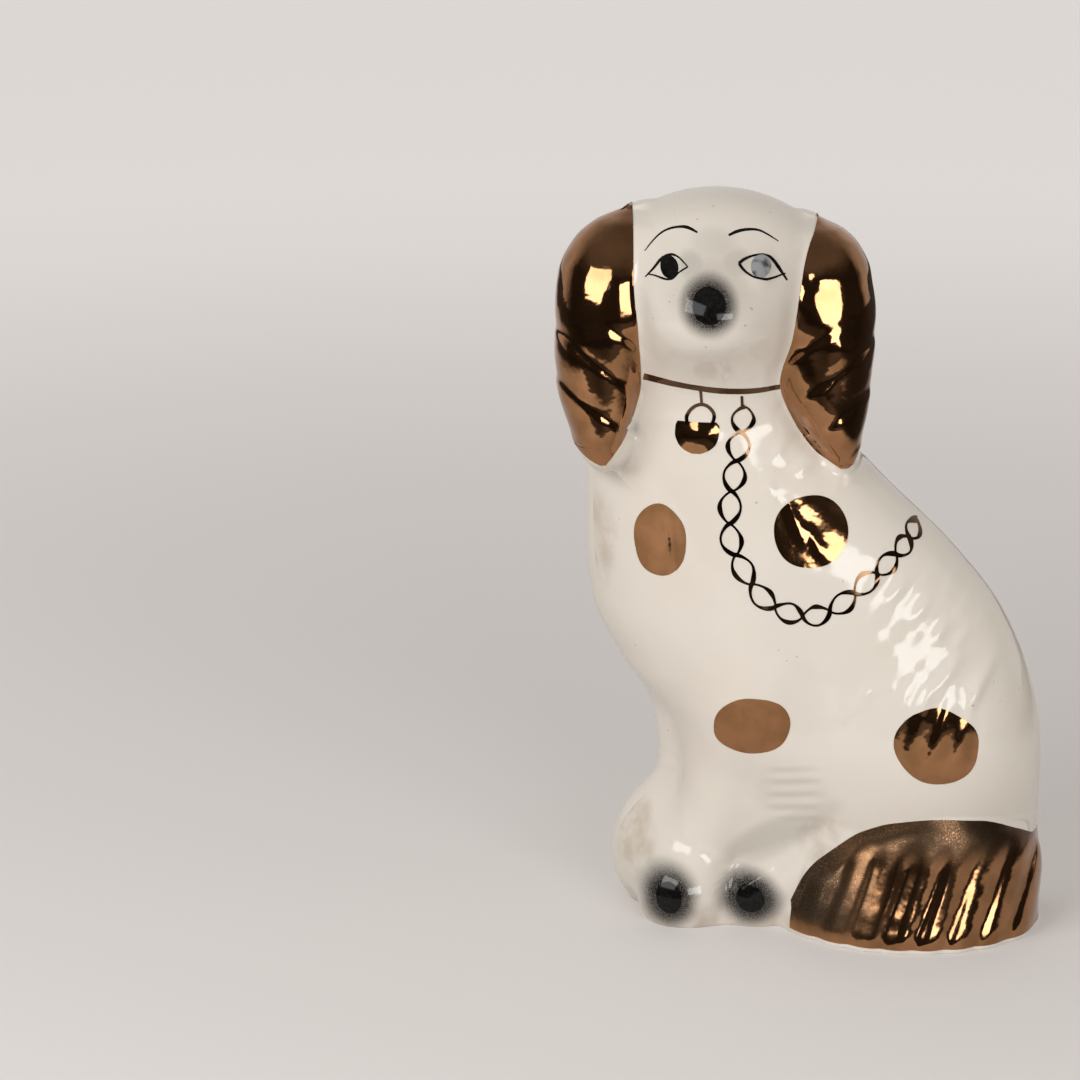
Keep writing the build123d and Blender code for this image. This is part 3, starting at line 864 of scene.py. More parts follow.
@dataclass
class Ear:
    """Gold lustre on a hanging ear, on rays to an upright axis inside it that fan out over its top.

    Attributes:
        painter: Painter of the coat.
        finish: Material of the coat.
        node: CAD node of the coat.
        axis: Across, depth at the tip and top of the axis.
        outward: Side of the outer face, -1 for -X and 1 for +X.
        inner: Heights and across of the edge towards the face.
        tip: Heights and across of the outer edge up from the tip, before it turns round the ear.
        wrap: Degrees by which the coat goes past the outermost line of the ear.
        over: Lift of the last rays, almost straight up.
        top_depth: Depth of the axis at its top; it leans back from the tip to there.
        reach: Length of the rays.
        counts: Level rows, fanned rows and columns.
        halvings: Halvings of the search for an edge.
    """

    painter: Painter
    finish: bpy.types.Material
    node: str
    axis: Point
    outward: int
    inner: Path
    tip: Path
    wrap: float = 8.0
    over: float = 89.0
    top_depth: float = 5.0
    reach: float = 42.0
    counts: Tuple[int, int, int] = (110, 46, 81)
    halvings: int = 14

    def met(self, turn: Array, height: Array, lift: Array) -> Array:
        """Places on the form on rays of a turn and a lift, in radians, to the axis at a height."""
        along = direction(turn, lift)
        lean = smooth_step(self.tip[0][0], self.axis[2], height)
        depth = self.axis[1] + (self.top_depth - self.axis[1]) * lean
        foot = np.stack((np.full_like(height, self.axis[0]), depth, height), -1)
        start = foot + self.reach * along
        return self.painter.form.met(start, -along)

    def turn_to(self, edge: Path, height: Array, lift: Array, low: float, high: float) -> Array:
        """Turn of each row's ray that meets an edge, found by halving.

        Args:
            edge: Heights and across of the edge.
            height: Height of each row on the axis.
            lift: Lift of each row.
            low: Least turn, where the form lies furthest to the left.
            high: Greatest turn, where it lies furthest to the right.

        Returns:
            Turns, held at the least or greatest one where a row doesn't reach the edge.
        """
        table = np.array(edge)
        least, most = np.full_like(height, low), np.full_like(height, high)
        for _ in range(self.halvings):
            middle = (least + most) / 2
            place = self.met(middle, height, lift)
            beyond = place[:, 0] > eased(table[:, 0], table[:, 1], place[:, 2])[:, 0]
            least, most = np.where(beyond, least, middle), np.where(beyond, middle, most)
        return (least + most) / 2

    def build(self) -> None:
        """Make the coat between its inner edge and the tip's outer edge, which opens out into the wrap."""
        level, fan, columns = self.counts
        foot, top = self.tip[0][0], self.axis[2]
        height = np.concatenate((np.linspace(foot, top, level), np.full(fan, top)))
        lift = np.concatenate((np.zeros(level), np.radians(np.linspace(0, self.over, fan + 1)[1:])))
        front, side = -np.pi / 2, np.pi / 2 * (self.outward - 1)
        within = sorted((front + self.outward * np.pi / 4, -np.pi / 2 * (self.outward + 1)))
        inner = self.turn_to(self.inner, height, lift, *within)
        outer = self.turn_to(self.tip, height, lift, *sorted((front, side)))
        open_out = smooth_step(self.tip[-2][0], self.tip[-1][0], height)
        wrapped = side + self.outward * np.radians(self.wrap) * np.clip(np.cos(lift), 0, 1) ** 2
        outer += open_out * (wrapped - outer)
        left, right = (outer, inner) if self.outward < 0 else (inner, outer)
        share = np.linspace(0, 1, columns)[None]
        turn = left[:, None] + (right - left)[:, None] * share
        shape = np.ones((1, columns))
        grid = self.met(turn, height[:, None] * shape, lift[:, None] * shape)
        self.painter.coat(self.node, [grid], self.finish, Slot.LUSTRE)


@dataclass
class Ears:
    """Both gilded ears."""

    painter: Painter
    finish: bpy.types.Material
    left_axis: Point = (-67.0, -8.0, 229.0)
    left_tip: Path = ((166.3, -70.2), (168.0, -73.6), (171.0, -77.5), (176.0, -82.0))
    right_axis: Point = (7.5, -8.0, 226.0)
    right_tip: Path = ((165.0, 13.8), (166.4, 15.6), (170.4, 17.4), (177.0, 19.3))

    def build(self) -> None:
        """Make both coats."""
        paint = self.painter, self.finish
        Ear(*paint, "ear_gilding_left", self.left_axis, -1, LEFT_EAR_EDGE, self.left_tip).build()
        Ear(*paint, "ear_gilding_right", self.right_axis, 1, RIGHT_EAR_EDGE, self.right_tip).build()


@dataclass
class Tail:
    """Gold lustre on the curled tail, on rays to an upright axis in it; its top edge is given across."""

    painter: Painter
    finish: bpy.types.Material
    axis: Place = (39.0, 6.0)
    turns: Place = (-140.0, -2.0)
    foot: float = 1.6
    reach: float = 90.0
    top_across: Tuple[float, ...] = (-6.5, -4.6, 0.9, 10.9, 20.7, 30.3, 45.1, 60.6, 75.6, 81.0, 85.5)
    top_heights: Tuple[float, ...] = (4.3, 8.8, 21.4, 32.6, 39.9, 43.8, 45.5, 43.8, 37.4, 33.5, 29.0)
    worn_across: Place = (6.0, 34.0)
    wear_and_shade_heights: Place = (2.0, 9.0)
    # painted shade: the top band of the plume goes dark and rough, standing for its dark reflection
    shaded_top: Place = (27.0, 37.0)
    top_shade: float = 0.85
    least_wear: float = 0.1
    counts: Tuple[int, int] = (71, 181)
    settlings: int = 6

    def met(self, turn: Array, up: Array) -> Array:
        """Places on the form at heights, on level rays to the axis."""
        along = direction(turn)
        foot = np.stack((np.full_like(up, self.axis[0]), np.full_like(up, self.axis[1]), up), -1)
        start = foot + self.reach * along
        return self.painter.form.met(start, -along)

    def build(self) -> None:
        """Make the coat, once its top edge has settled at the across that each ray meets."""
        turn = np.radians(np.linspace(*self.turns, self.counts[1]))
        top = np.full_like(turn, np.mean(self.top_heights))
        for _ in range(self.settlings):
            across = self.met(turn, top)[:, 0]
            top = (top + eased(self.top_across, np.array(self.top_heights), across)[:, 0]) / 2
        share = np.linspace(0, 1, self.counts[0])[:, None]
        up = self.foot + (top[None] - self.foot) * share
        grid = self.met(np.repeat(turn[None], self.counts[0], 0), up)
        self.painter.coat("tail_gilding", [grid], self.finish, Slot.LUSTRE, marks=self.wear_and_shade)

    def wear_and_shade(self, places: Array) -> dict:
        """Rubbed gold at the thin end, and painted shade, dark and rough, along the top of the plume; none
        along its foot.
        """
        end = 1 - smooth_step(*self.worn_across, places[:, 0])
        rubbed_and_shaded = np.maximum(end, self.top_shade * smooth_step(*self.shaded_top, places[:, 2]))
        wear_and_shade = self.least_wear + (1 - self.least_wear) * rubbed_and_shaded
        return {"wear_and_shade": wear_and_shade * smooth_step(*self.wear_and_shade_heights, places[:, 2])}


@dataclass
class Spots:
    """Gold lustre spots, each with its place, half sizes and lean."""

    painter: Painter
    finish: bpy.types.Material
    wobble: float = 0.045
    spots: Tuple[Tuple[str, Place, Place, float], ...] = (
        ("chest", (-49.6, 138.7), (8.8, 12.8), 0.0),
        ("shoulder", (1.0, 144.8), (12.6, 12.0), 0.0),
        ("foreleg", (-17.9, 76.4), (13.2, 10.2), 14.0),
        ("haunch", (44.3, 72.6), (14.4, 13.3), 0.0),
    )

    def build(self) -> None:
        """Make each spot."""
        for seed, (name, place, half_sizes, lean) in enumerate(self.spots):
            grid = self.painter.patch(place, half_sizes, lean, self.wobble, seed)
            self.painter.coat(f"spot_{name}", [grid], self.finish, Slot.LUSTRE)


@dataclass
class Lead:
    """Painted collar, padlock and chain, whose two strands weave about a line through the links.

    The collar is rows of an across, a height and a width of the brush. The padlock is rows of a height
    and its left and right edge there.
    """

    painter: Painter
    finish: bpy.types.Material
    # painted shade: the collar, shackle and chain take a darker copy of the lustre
    shaded_line_finish: bpy.types.Material
    collar_rows: Rows = (
        (-55.6, 196.1, 2.4), (-48.2, 194.9, 2.3), (-39.9, 193.8, 2.0), (-30.1, 192.6, 2.2),
        (-20.0, 192.2, 2.0), (-9.6, 192.7, 1.6),
    )
    lock_rows: Rows = (
        (170.1, -39.4, -36.4), (171.3, -41.9, -33.6), (173.5, -43.9, -31.2), (176.5, -44.8, -30.2),
        (179.4, -44.6, -30.0), (180.9, -44.0, -31.0),
    )
    ring_path: Path = (
        (-40.6, 179.8), (-41.0, 182.4), (-39.6, 185.2), (-37.2, 187.0), (-34.6, 186.9),
        (-32.4, 184.9), (-31.8, 182.6), (-32.8, 179.4),
    )
    hook_path: Path = ((-36.6, 192.8), (-36.3, 190.0), (-36.0, 187.0))
    stem_path: Path = ((-22.7, 190.4), (-22.5, 188.0), (-22.4, 185.8))
    links: Path = (
        (-22.1, 182.0), (-23.5, 173.0), (-24.9, 163.1), (-26.2, 152.6), (-25.8, 141.3),
        (-21.7, 131.9), (-15.3, 122.6), (-6.1, 117.6), (2.9, 116.6), (12.0, 121.2), (19.7, 127.8),
        (27.0, 133.6), (33.0, 138.8), (36.6, 142.8),
    )
    link_half_widths: Place = (3.7, 2.9)
    roundness: float = 0.72
    line_widths: Place = (0.75, 1.65)
    ring_width: float = 1.2
    hook_width: float = 0.9
    points_per_link: int = 22
    lock_count: int = 31
    ring_rise: float = 0.04
    chain_rise: float = 0.05

    def strand(self, side: float) -> Array:
        """Grid of one strand: a cosine about the middle line, rounded out, that swaps sides between links.

        Args:
            side: 1 or -1, the side of the first link.

        Returns:
            Places on the form, with the brush line thickest where a strand leaves a crossing.
        """
        count = len(self.links)
        at = np.linspace(-0.5, count - 0.5, self.points_per_link * count)
        inside = np.clip(at, 0, count - 1)
        knots = np.arange(count)
        middle = eased(knots, np.array(self.links), inside, free=True)
        slope = eased(knots, np.gradient(np.array(self.links), axis=0), inside)
        middle += (at - inside)[:, None] * slope
        aside = np.stack((-slope[:, 1], slope[:, 0]), 1) / np.linalg.norm(slope, axis=1, keepdims=True)
        half = np.interp(at, (0, count), self.link_half_widths)
        swing = np.cos(np.pi * at)
        path = middle + aside * (side * half * np.sign(swing) * np.abs(swing) ** self.roundness)[:, None]
        share = 0.5 + 0.5 * np.sin(2 * np.pi * at + side)
        thin, thick = self.line_widths
        return self.painter.stroke(path, thin + share**2 * (thick - thin))

    def build(self) -> None:
        """Make the collar, padlock and chain."""
        coat, line = self.painter.coat, self.painter.line
        coat("collar", [self.painter.brushed(self.collar_rows)], self.shaded_line_finish, Slot.LUSTRE)
        lock = self.painter.panel(self.lock_rows, self.lock_count, self.lock_count)
        coat("padlock_body", [lock], self.finish, Slot.LUSTRE)
        ring = line(self.ring_path, self.ring_width), line(self.hook_path, self.hook_width)
        coat("padlock_shackle", ring, self.shaded_line_finish, Slot.LUSTRE, rise=self.ring_rise)
        chain = self.strand(1), self.strand(-1), line(self.stem_path, self.hook_width)
        coat("lead_chain", chain, self.shaded_line_finish, Slot.LUSTRE, rise=self.chain_rise)


@dataclass
class FacePaint:
    """Black enamel of the eyes, brows, nose and toes.

    Each lid and brow is rows of an across, a height and a width of the brush. Each patch has its node,
    place, half sizes and its share of grey painted reflection on the enamel.
    """

    painter: Painter
    finish: bpy.types.Material
    upper_left: Rows = (
        (-41.7, 236.6, 0.35), (-42.9, 237.7, 0.4), (-44.5, 239.0, 0.45), (-46.5, 239.7, 0.6),
        (-48.6, 239.2, 0.7), (-50.6, 237.8, 0.75), (-52.7, 235.1, 0.6), (-55.5, 231.8, 0.25),
    )
    lower_left: Rows = (
        (-54.6, 232.8, 0.35), (-52.3, 232.9, 0.5), (-50.1, 232.6, 0.7), (-48.6, 232.5, 0.6),
        (-46.6, 233.0, 0.35), (-44.6, 234.9, 0.35), (-41.7, 236.6, 0.35),
    )
    upper_right: Rows = (
        (-24.9, 237.6, 0.9), (-23.0, 238.7, 0.85), (-20.5, 239.5, 0.55), (-17.5, 239.8, 0.5),
        (-15.0, 239.2, 0.6), (-13.3, 237.9, 0.9), (-11.2, 235.1, 1.0), (-8.4, 230.9, 0.45),
    )
    lower_right: Rows = (
        (-24.8, 237.6, 0.9), (-23.1, 235.6, 0.7), (-20.2, 233.7, 0.5), (-17.6, 232.9, 0.6),
        (-15.5, 232.4, 0.8), (-13.0, 232.5, 0.7), (-9.0, 233.1, 0.4),
    )
    brow_left: Rows = (
        (-38.2, 246.2, 0.5), (-41.4, 247.4, 0.9), (-44.3, 247.4, 0.6), (-47.6, 246.6, 0.5),
        (-50.5, 245.0, 0.4), (-53.4, 242.3, 0.3), (-55.6, 239.6, 0.15),
    )
    brow_right: Rows = (
        (-27.9, 245.5, 0.6), (-24.9, 246.5, 0.85), (-21.5, 246.9, 0.7), (-18.1, 246.6, 0.55),
        (-15.2, 245.4, 0.45), (-11.1, 242.9, 0.2),
    )
    # the last number is the share of grey painted reflection; the right iris has it
    patches: Tuple[Tuple[str, Place, Place, float], ...] = (
        ("iris_left", (-47.7, 236.1), (2.9, 3.3), 0.0),
        ("iris_right", (-17.4, 236.4), (3.4, 3.4), 1.0),
        ("nose", (-35.0, 225.6), (5.4, 5.8), 0.0),
        ("toes_fore", (-45.6, 11.5), (4.4, 5.4), 0.0),
        ("toes_hind", (-17.2, 11.0), (4.8, 4.8), 0.0),
    )
    line_rise: float = 0.03
    wobble: float = 0.02
    patch_count: int = 25

    def build(self) -> None:
        """Make the lines and patches."""
        lines = {
            "eye_line_left": (self.upper_left, self.lower_left),
            "eye_line_right": (self.upper_right, self.lower_right),
            "brow_left": (self.brow_left,),
            "brow_right": (self.brow_right,),
        }
        for node, strokes in lines.items():
            grids = [self.painter.brushed(rows) for rows in strokes]
            self.painter.coat(node, grids, self.finish, Slot.ENAMEL, rise=self.line_rise)
        for seed, (node, place, half_sizes, painted_reflection) in enumerate(self.patches):
            grid = self.painter.patch(place, half_sizes, 0.0, self.wobble, seed, self.patch_count)
            # thin: the grey painted reflection of each patch
            thin = functools.partial(self.painted_reflection_share, painted_reflection)
            self.painter.coat(node, [grid], self.finish, Slot.ENAMEL, marks=thin)

    @staticmethod
    def painted_reflection_share(painted_reflection: float, places: Array) -> dict:
        """Share of grey painted reflection on the enamel, the same all over a patch."""
        return {"painted_reflection": np.full(len(places), painted_reflection)}


@dataclass
class Socket:
    """Shader value that takes part in Python sums."""

    shader: "Shader"
    link: bpy.types.NodeSocket

    def _sum(self, operation: str, *values: Union["Socket", float]) -> "Socket":
        """Math node of an operation on values."""
        return self.shader.node("ShaderNodeMath", {"operation": operation}, dict(enumerate(values)))

    def __add__(self, other: Union["Socket", float]) -> "Socket":
        """Sum."""
        return self._sum("ADD", self, other)

    def __sub__(self, other: Union["Socket", float]) -> "Socket":
        """Difference."""
        return self._sum("SUBTRACT", self, other)

    def __rsub__(self, other: float) -> "Socket":
        """Difference from a number."""
        return self._sum("SUBTRACT", other, self)

    def __mul__(self, other: Union["Socket", float]) -> "Socket":
        """Product."""
        return self._sum("MULTIPLY", self, other)

    def __gt__(self, other: Union["Socket", float]) -> "Socket":
        """One where this is greater."""
        return self._sum("GREATER_THAN", self, other)

    __radd__ = __add__
    __rmul__ = __mul__

    def power(self, exponent: float) -> "Socket":
        """This raised to a number."""
        return self._sum("POWER", self, exponent)

    def at_least(self, other: Union["Socket", float]) -> "Socket":
        """Greater of two values."""
        return self._sum("MAXIMUM", self, other)

    def between(self, low: float, high: float) -> "Socket":
        """Eased share of the way from low to high."""
        return self.shader.node(
            "ShaderNodeMapRange",
            {"interpolation_type": "SMOOTHSTEP"},
            {"Value": self, "From Min": low, "From Max": high},
        )


Value = Union[Socket, float, Colour]


class Shader:
    """Node tree of one material or of the world."""

    def __init__(self, owner: Union[bpy.types.Material, bpy.types.World]) -> None:
        """Empty the owner's tree."""
        self.owner = owner
        owner.use_nodes = True
        self.tree = owner.node_tree
        self.tree.nodes.clear()

    def node(
        self, kind: str, settings: dict, values: dict, output: Union[int, str] = 0
    ) -> Optional[Socket]:
        """New node.

        Args:
            kind: Type of the node.
            settings: Properties, set before the sockets.
            values: Numbers, colours or links by socket name or number.
            output: Output to hand back.

        Returns:
            The chosen output, if the node has any.
        """
        made = self.tree.nodes.new(kind)
        for key, setting in settings.items():
            setattr(made, key, setting)
        for key, value in values.items():
            if isinstance(value, Socket):
                self.tree.links.new(value.link, made.inputs[key])
            else:
                made.inputs[key].default_value = value
        return Socket(self, made.outputs[output]) if made.outputs else None

    def places(self) -> Socket:
        """Object coordinates."""
        return self.node("ShaderNodeTexCoord", {}, {}, "Object")

    def noise(self, scale: float, detail: float) -> Socket:
        """Noise of a scale in cells per metre."""
        values = {"Vector": self.places(), "Scale": scale, "Detail": detail}
        return self.node("ShaderNodeTexNoise", {}, values)

    def mark(self, name: str) -> Socket:
        """Value of a point attribute."""
        return self.node("ShaderNodeAttribute", {"attribute_name": name}, {}, "Fac")

    def mix(self, share: Value, first: Value, second: Value) -> Socket:
        """Colour between two colours."""
        return self.node("ShaderNodeMix", {"data_type": "RGBA"}, {"Factor": share, 6: first, 7: second}, 2)

    def bump(self, height: Socket, depth: float, strength: float) -> Socket:
        """Normal of a height pattern of a depth in metres."""
        return self.node("ShaderNodeBump", {}, {"Height": height, "Distance": depth, "Strength": strength})

    def part(self, way: Socket, axis: str) -> Socket:
        """One coordinate of a place or direction."""
        return self.node("ShaderNodeSeparateXYZ", {}, {0: way}, axis)

    def ray(self, kind: str) -> Socket:
        """One for rays of a kind, Camera or Glossy."""
        return self.node("ShaderNodeLightPath", {}, {}, f"Is {kind} Ray")

    def surface(self, values: dict) -> bpy.types.Material:
        """Material with a principled surface."""
        shaded = self.node("ShaderNodeBsdfPrincipled", {}, values)
        self.node("ShaderNodeOutputMaterial", {}, {"Surface": shaded})
        return self.owner


@dataclass(frozen=True)
class Pattern:
    """Cloudy pattern: cells per metre, detail, and the noise at which it starts and is full."""

    scale: float
    detail: float
    span: Place

    def on(self, shader: Shader) -> Socket:
        """Share of the pattern at each place."""
        return shader.noise(self.scale, self.detail).between(*self.span)


@dataclass(frozen=True)
class Waves:
    """Uneven surface: cells per metre, detail, depth in metres and strength."""

    scale: float
    detail: float
    depth: float
    strength: float

    def on(self, shader: Shader, finer: Value = 0.0) -> Socket:
        """Normal of the surface, with a finer height added."""
        return shader.bump(shader.noise(self.scale, self.detail) + finer, self.depth, self.strength)


@dataclass(frozen=True)
class CreamGlaze:
    """Glossy cream-white lead glaze with sprayed black on the nose and toes, painted shade in creases and
    hollows, tea-brown stains and a few specks.
    """

    colour: Colour = (0.76, 0.70, 0.62, 1)
    warm: Colour = (0.73, 0.64, 0.54, 1)
    # black of the sprayed nose and toes, also used for painted shade in creases and hollows
    soot_and_shade: Colour = (0.008, 0.007, 0.0065, 1)
    tea: Colour = (0.33, 0.22, 0.13, 1)
    speck: Colour = (0.12, 0.08, 0.05, 1)
    warmth: Pattern = Pattern(22, 3, (0.4, 0.8))
    warm_share: float = 0.5
    stains: Pattern = Pattern(120, 4, (0.25, 0.7))
    speck_scale: float = 560
    speck_least: float = 0.82
    group_scale: float = 60
    group_least: float = 0.66
    speck_share: float = 0.3
    droplets: Pattern = Pattern(3200, 2, (0.3, 0.7))
    least_cover: float = 0.85
    droplet_cover: float = 0.3
    roughness: float = 0.09
    refraction: float = 1.47
    waves: Waves = Waves(60, 2, 0.0008, 0.5)

    def make(self) -> bpy.types.Material:
        """Material of the glaze."""
        shader = Shader(bpy.data.materials.new("cream_glaze"))
        colour = shader.mix(self.warmth.on(shader) * self.warm_share, self.colour, self.warm)
        colour = shader.mix(shader.mark("tea") * self.stains.on(shader), colour, self.tea)
        speck = shader.noise(self.speck_scale, 0) > self.speck_least
        group = shader.noise(self.group_scale, 0) > self.group_least
        colour = shader.mix(speck * group * self.speck_share, colour, self.speck)
        # sprayed black of the nose and toes, with painted shade in creases and hollows
        soot_and_shade = shader.mark("soot_and_shade") * (self.least_cover + self.droplets.on(shader) * self.droplet_cover)
        colour = shader.mix(soot_and_shade, colour, self.soot_and_shade)
        return shader.surface(
            {
                "Base Color": colour,
                "Roughness": self.roughness,
                "IOR": self.refraction,
                "Normal": self.waves.on(shader),
            }
        )


@dataclass(frozen=True)
class GoldLustre:
    """Bright bronze-gold lustre, wavy from the brush, with thin and thick places, rubbed wear, and painted
    shade where marked along the tail's top.
    """

    name: str = "gold_lustre"
    thin: Colour = (0.39, 0.195, 0.094, 1)
    thick: Colour = (0.29, 0.148, 0.066, 1)
    # dark rubbed gold, also laid as painted shade along the top of the tail
    worn_and_shaded: Colour = (0.052, 0.039, 0.027, 1)
    cloud: Pattern = Pattern(90, 3, (0.35, 0.68))
    wear_and_shade: Pattern = Pattern(2200, 3, (0.0, 0.6))
    waves: Waves = Waves(50, 2, 0.0009, 0.8)
    ripple_scale: float = 170
    ripple_share: float = 0.22
    roughness: float = 0.06
    cloud_roughness: float = 0.04
    wear_roughness: float = 0.4

    def make(self) -> bpy.types.Material:
        """Material of the lustre."""
        shader = Shader(bpy.data.materials.new(self.name))
        cloud = self.cloud.on(shader)
        # grain: rubbed wear at the tail's thin end, and painted shade along its top
        grain = shader.mark("wear_and_shade") * self.wear_and_shade.on(shader)
        ripples = shader.noise(self.ripple_scale, self.waves.detail) * self.ripple_share
        return shader.surface(
            {
                "Base Color": shader.mix(grain, shader.mix(cloud, self.thin, self.thick), self.worn_and_shaded),
                "Metallic": 1.0,
                "Roughness": self.roughness + cloud * self.cloud_roughness + grain * self.wear_roughness,
                "Normal": self.waves.on(shader, ripples),
            }
        )


# painted shade: a darker copy of the lustre, standing for the dark reflection on the thin lines
SHADED_LINE_GOLD = GoldLustre("gold_line_shaded", thin=(0.15, 0.085, 0.045, 1), thick=(0.08, 0.045, 0.024, 1))


@dataclass(frozen=True)
class BlackEnamel:
    """Glossy black enamel, grey where a painted reflection is laid on, as on the right iris."""

    colour: Colour = (0.005, 0.0045, 0.004, 1)
    thin: Colour = (0.010, 0.0092, 0.0085, 1)
    # grey of the painted reflection on the right iris
    painted_reflection: Colour = (0.32, 0.32, 0.325, 1)
    cloud: Pattern = Pattern(700, 2, (0.4, 0.7))
    streaks: Pattern = Pattern(260, 1, (0.2, 0.55))
    roughness: float = 0.1
    cloud_roughness: float = 0.04
    refraction: float = 1.28

    def make(self) -> bpy.types.Material:
        """Material of the enamel."""
        shader = Shader(bpy.data.materials.new("black_enamel"))
        cloud = self.cloud.on(shader)
        # share of the grey painted reflection, broken into streaks
        painted_reflection_share = shader.mark("painted_reflection") * self.streaks.on(shader)
        return shader.surface(
            {
                "Base Color": shader.mix(painted_reflection_share, shader.mix(cloud, self.colour, self.thin), self.painted_reflection),
                "Roughness": self.roughness + cloud * self.cloud_roughness,
                "IOR": self.refraction,
            }
        )


@dataclass(frozen=True)
class BareClay:
    """Matt biscuit of the slab."""

    colour: Colour = (0.56, 0.48, 0.38, 1)
    dark: Colour = (0.42, 0.34, 0.25, 1)
    cloud: Pattern = Pattern(60, 4, (0.35, 0.7))
    grain: Waves = Waves(1500, 3, 0.0003, 0.5)
    roughness: float = 0.85
    grain_roughness: float = 0.1

    def make(self) -> bpy.types.Material:
        """Material of the bare clay."""
        shader = Shader(bpy.data.materials.new("bare_clay"))
        grain = shader.noise(self.grain.scale, self.grain.detail)
        return shader.surface(
            {
                "Base Color": shader.mix(self.cloud.on(shader), self.colour, self.dark),
                "Roughness": self.roughness + grain * self.grain_roughness,
                "Normal": self.grain.on(shader),
            }
        )


@dataclass(frozen=True)
class Lamp:
    """Soft box aimed at the figure, placed by its direction as seen from there.

    Attributes:
        name: Name of the lamp.
        turn: Degrees from the camera's side towards the right.
        rise: Degrees above the horizon.
        size: Width and height in metres.
        power: Watts.
        distance: Metres from the figure.
        aim: Place that it faces, in metres.
    """

    name: str
    turn: float
    rise: float
    size: Place
    power: float
    distance: float = 1.2
    aim: Point = (0.0, 0.0, 0.13)

    def build(self) -> None:
        """Hang the lamp, out of the camera's sight."""
        data = bpy.data.lights.new(self.name, "AREA")
        data.shape = "RECTANGLE"
        data.size, data.size_y = self.size
        data.energy = self.power
        turn, rise = np.radians((self.turn, self.rise))
        way = Vector((np.sin(turn) * np.cos(rise), -np.cos(turn) * np.cos(rise), np.sin(rise)))
        lamp = linked(self.name, data)
        facing = (-way).to_track_quat("-Z", "Y").to_matrix().to_4x4()
        lamp.matrix_world = Matrix.Translation(Vector(self.aim) + way * self.distance) @ facing
        lamp.visible_camera = False


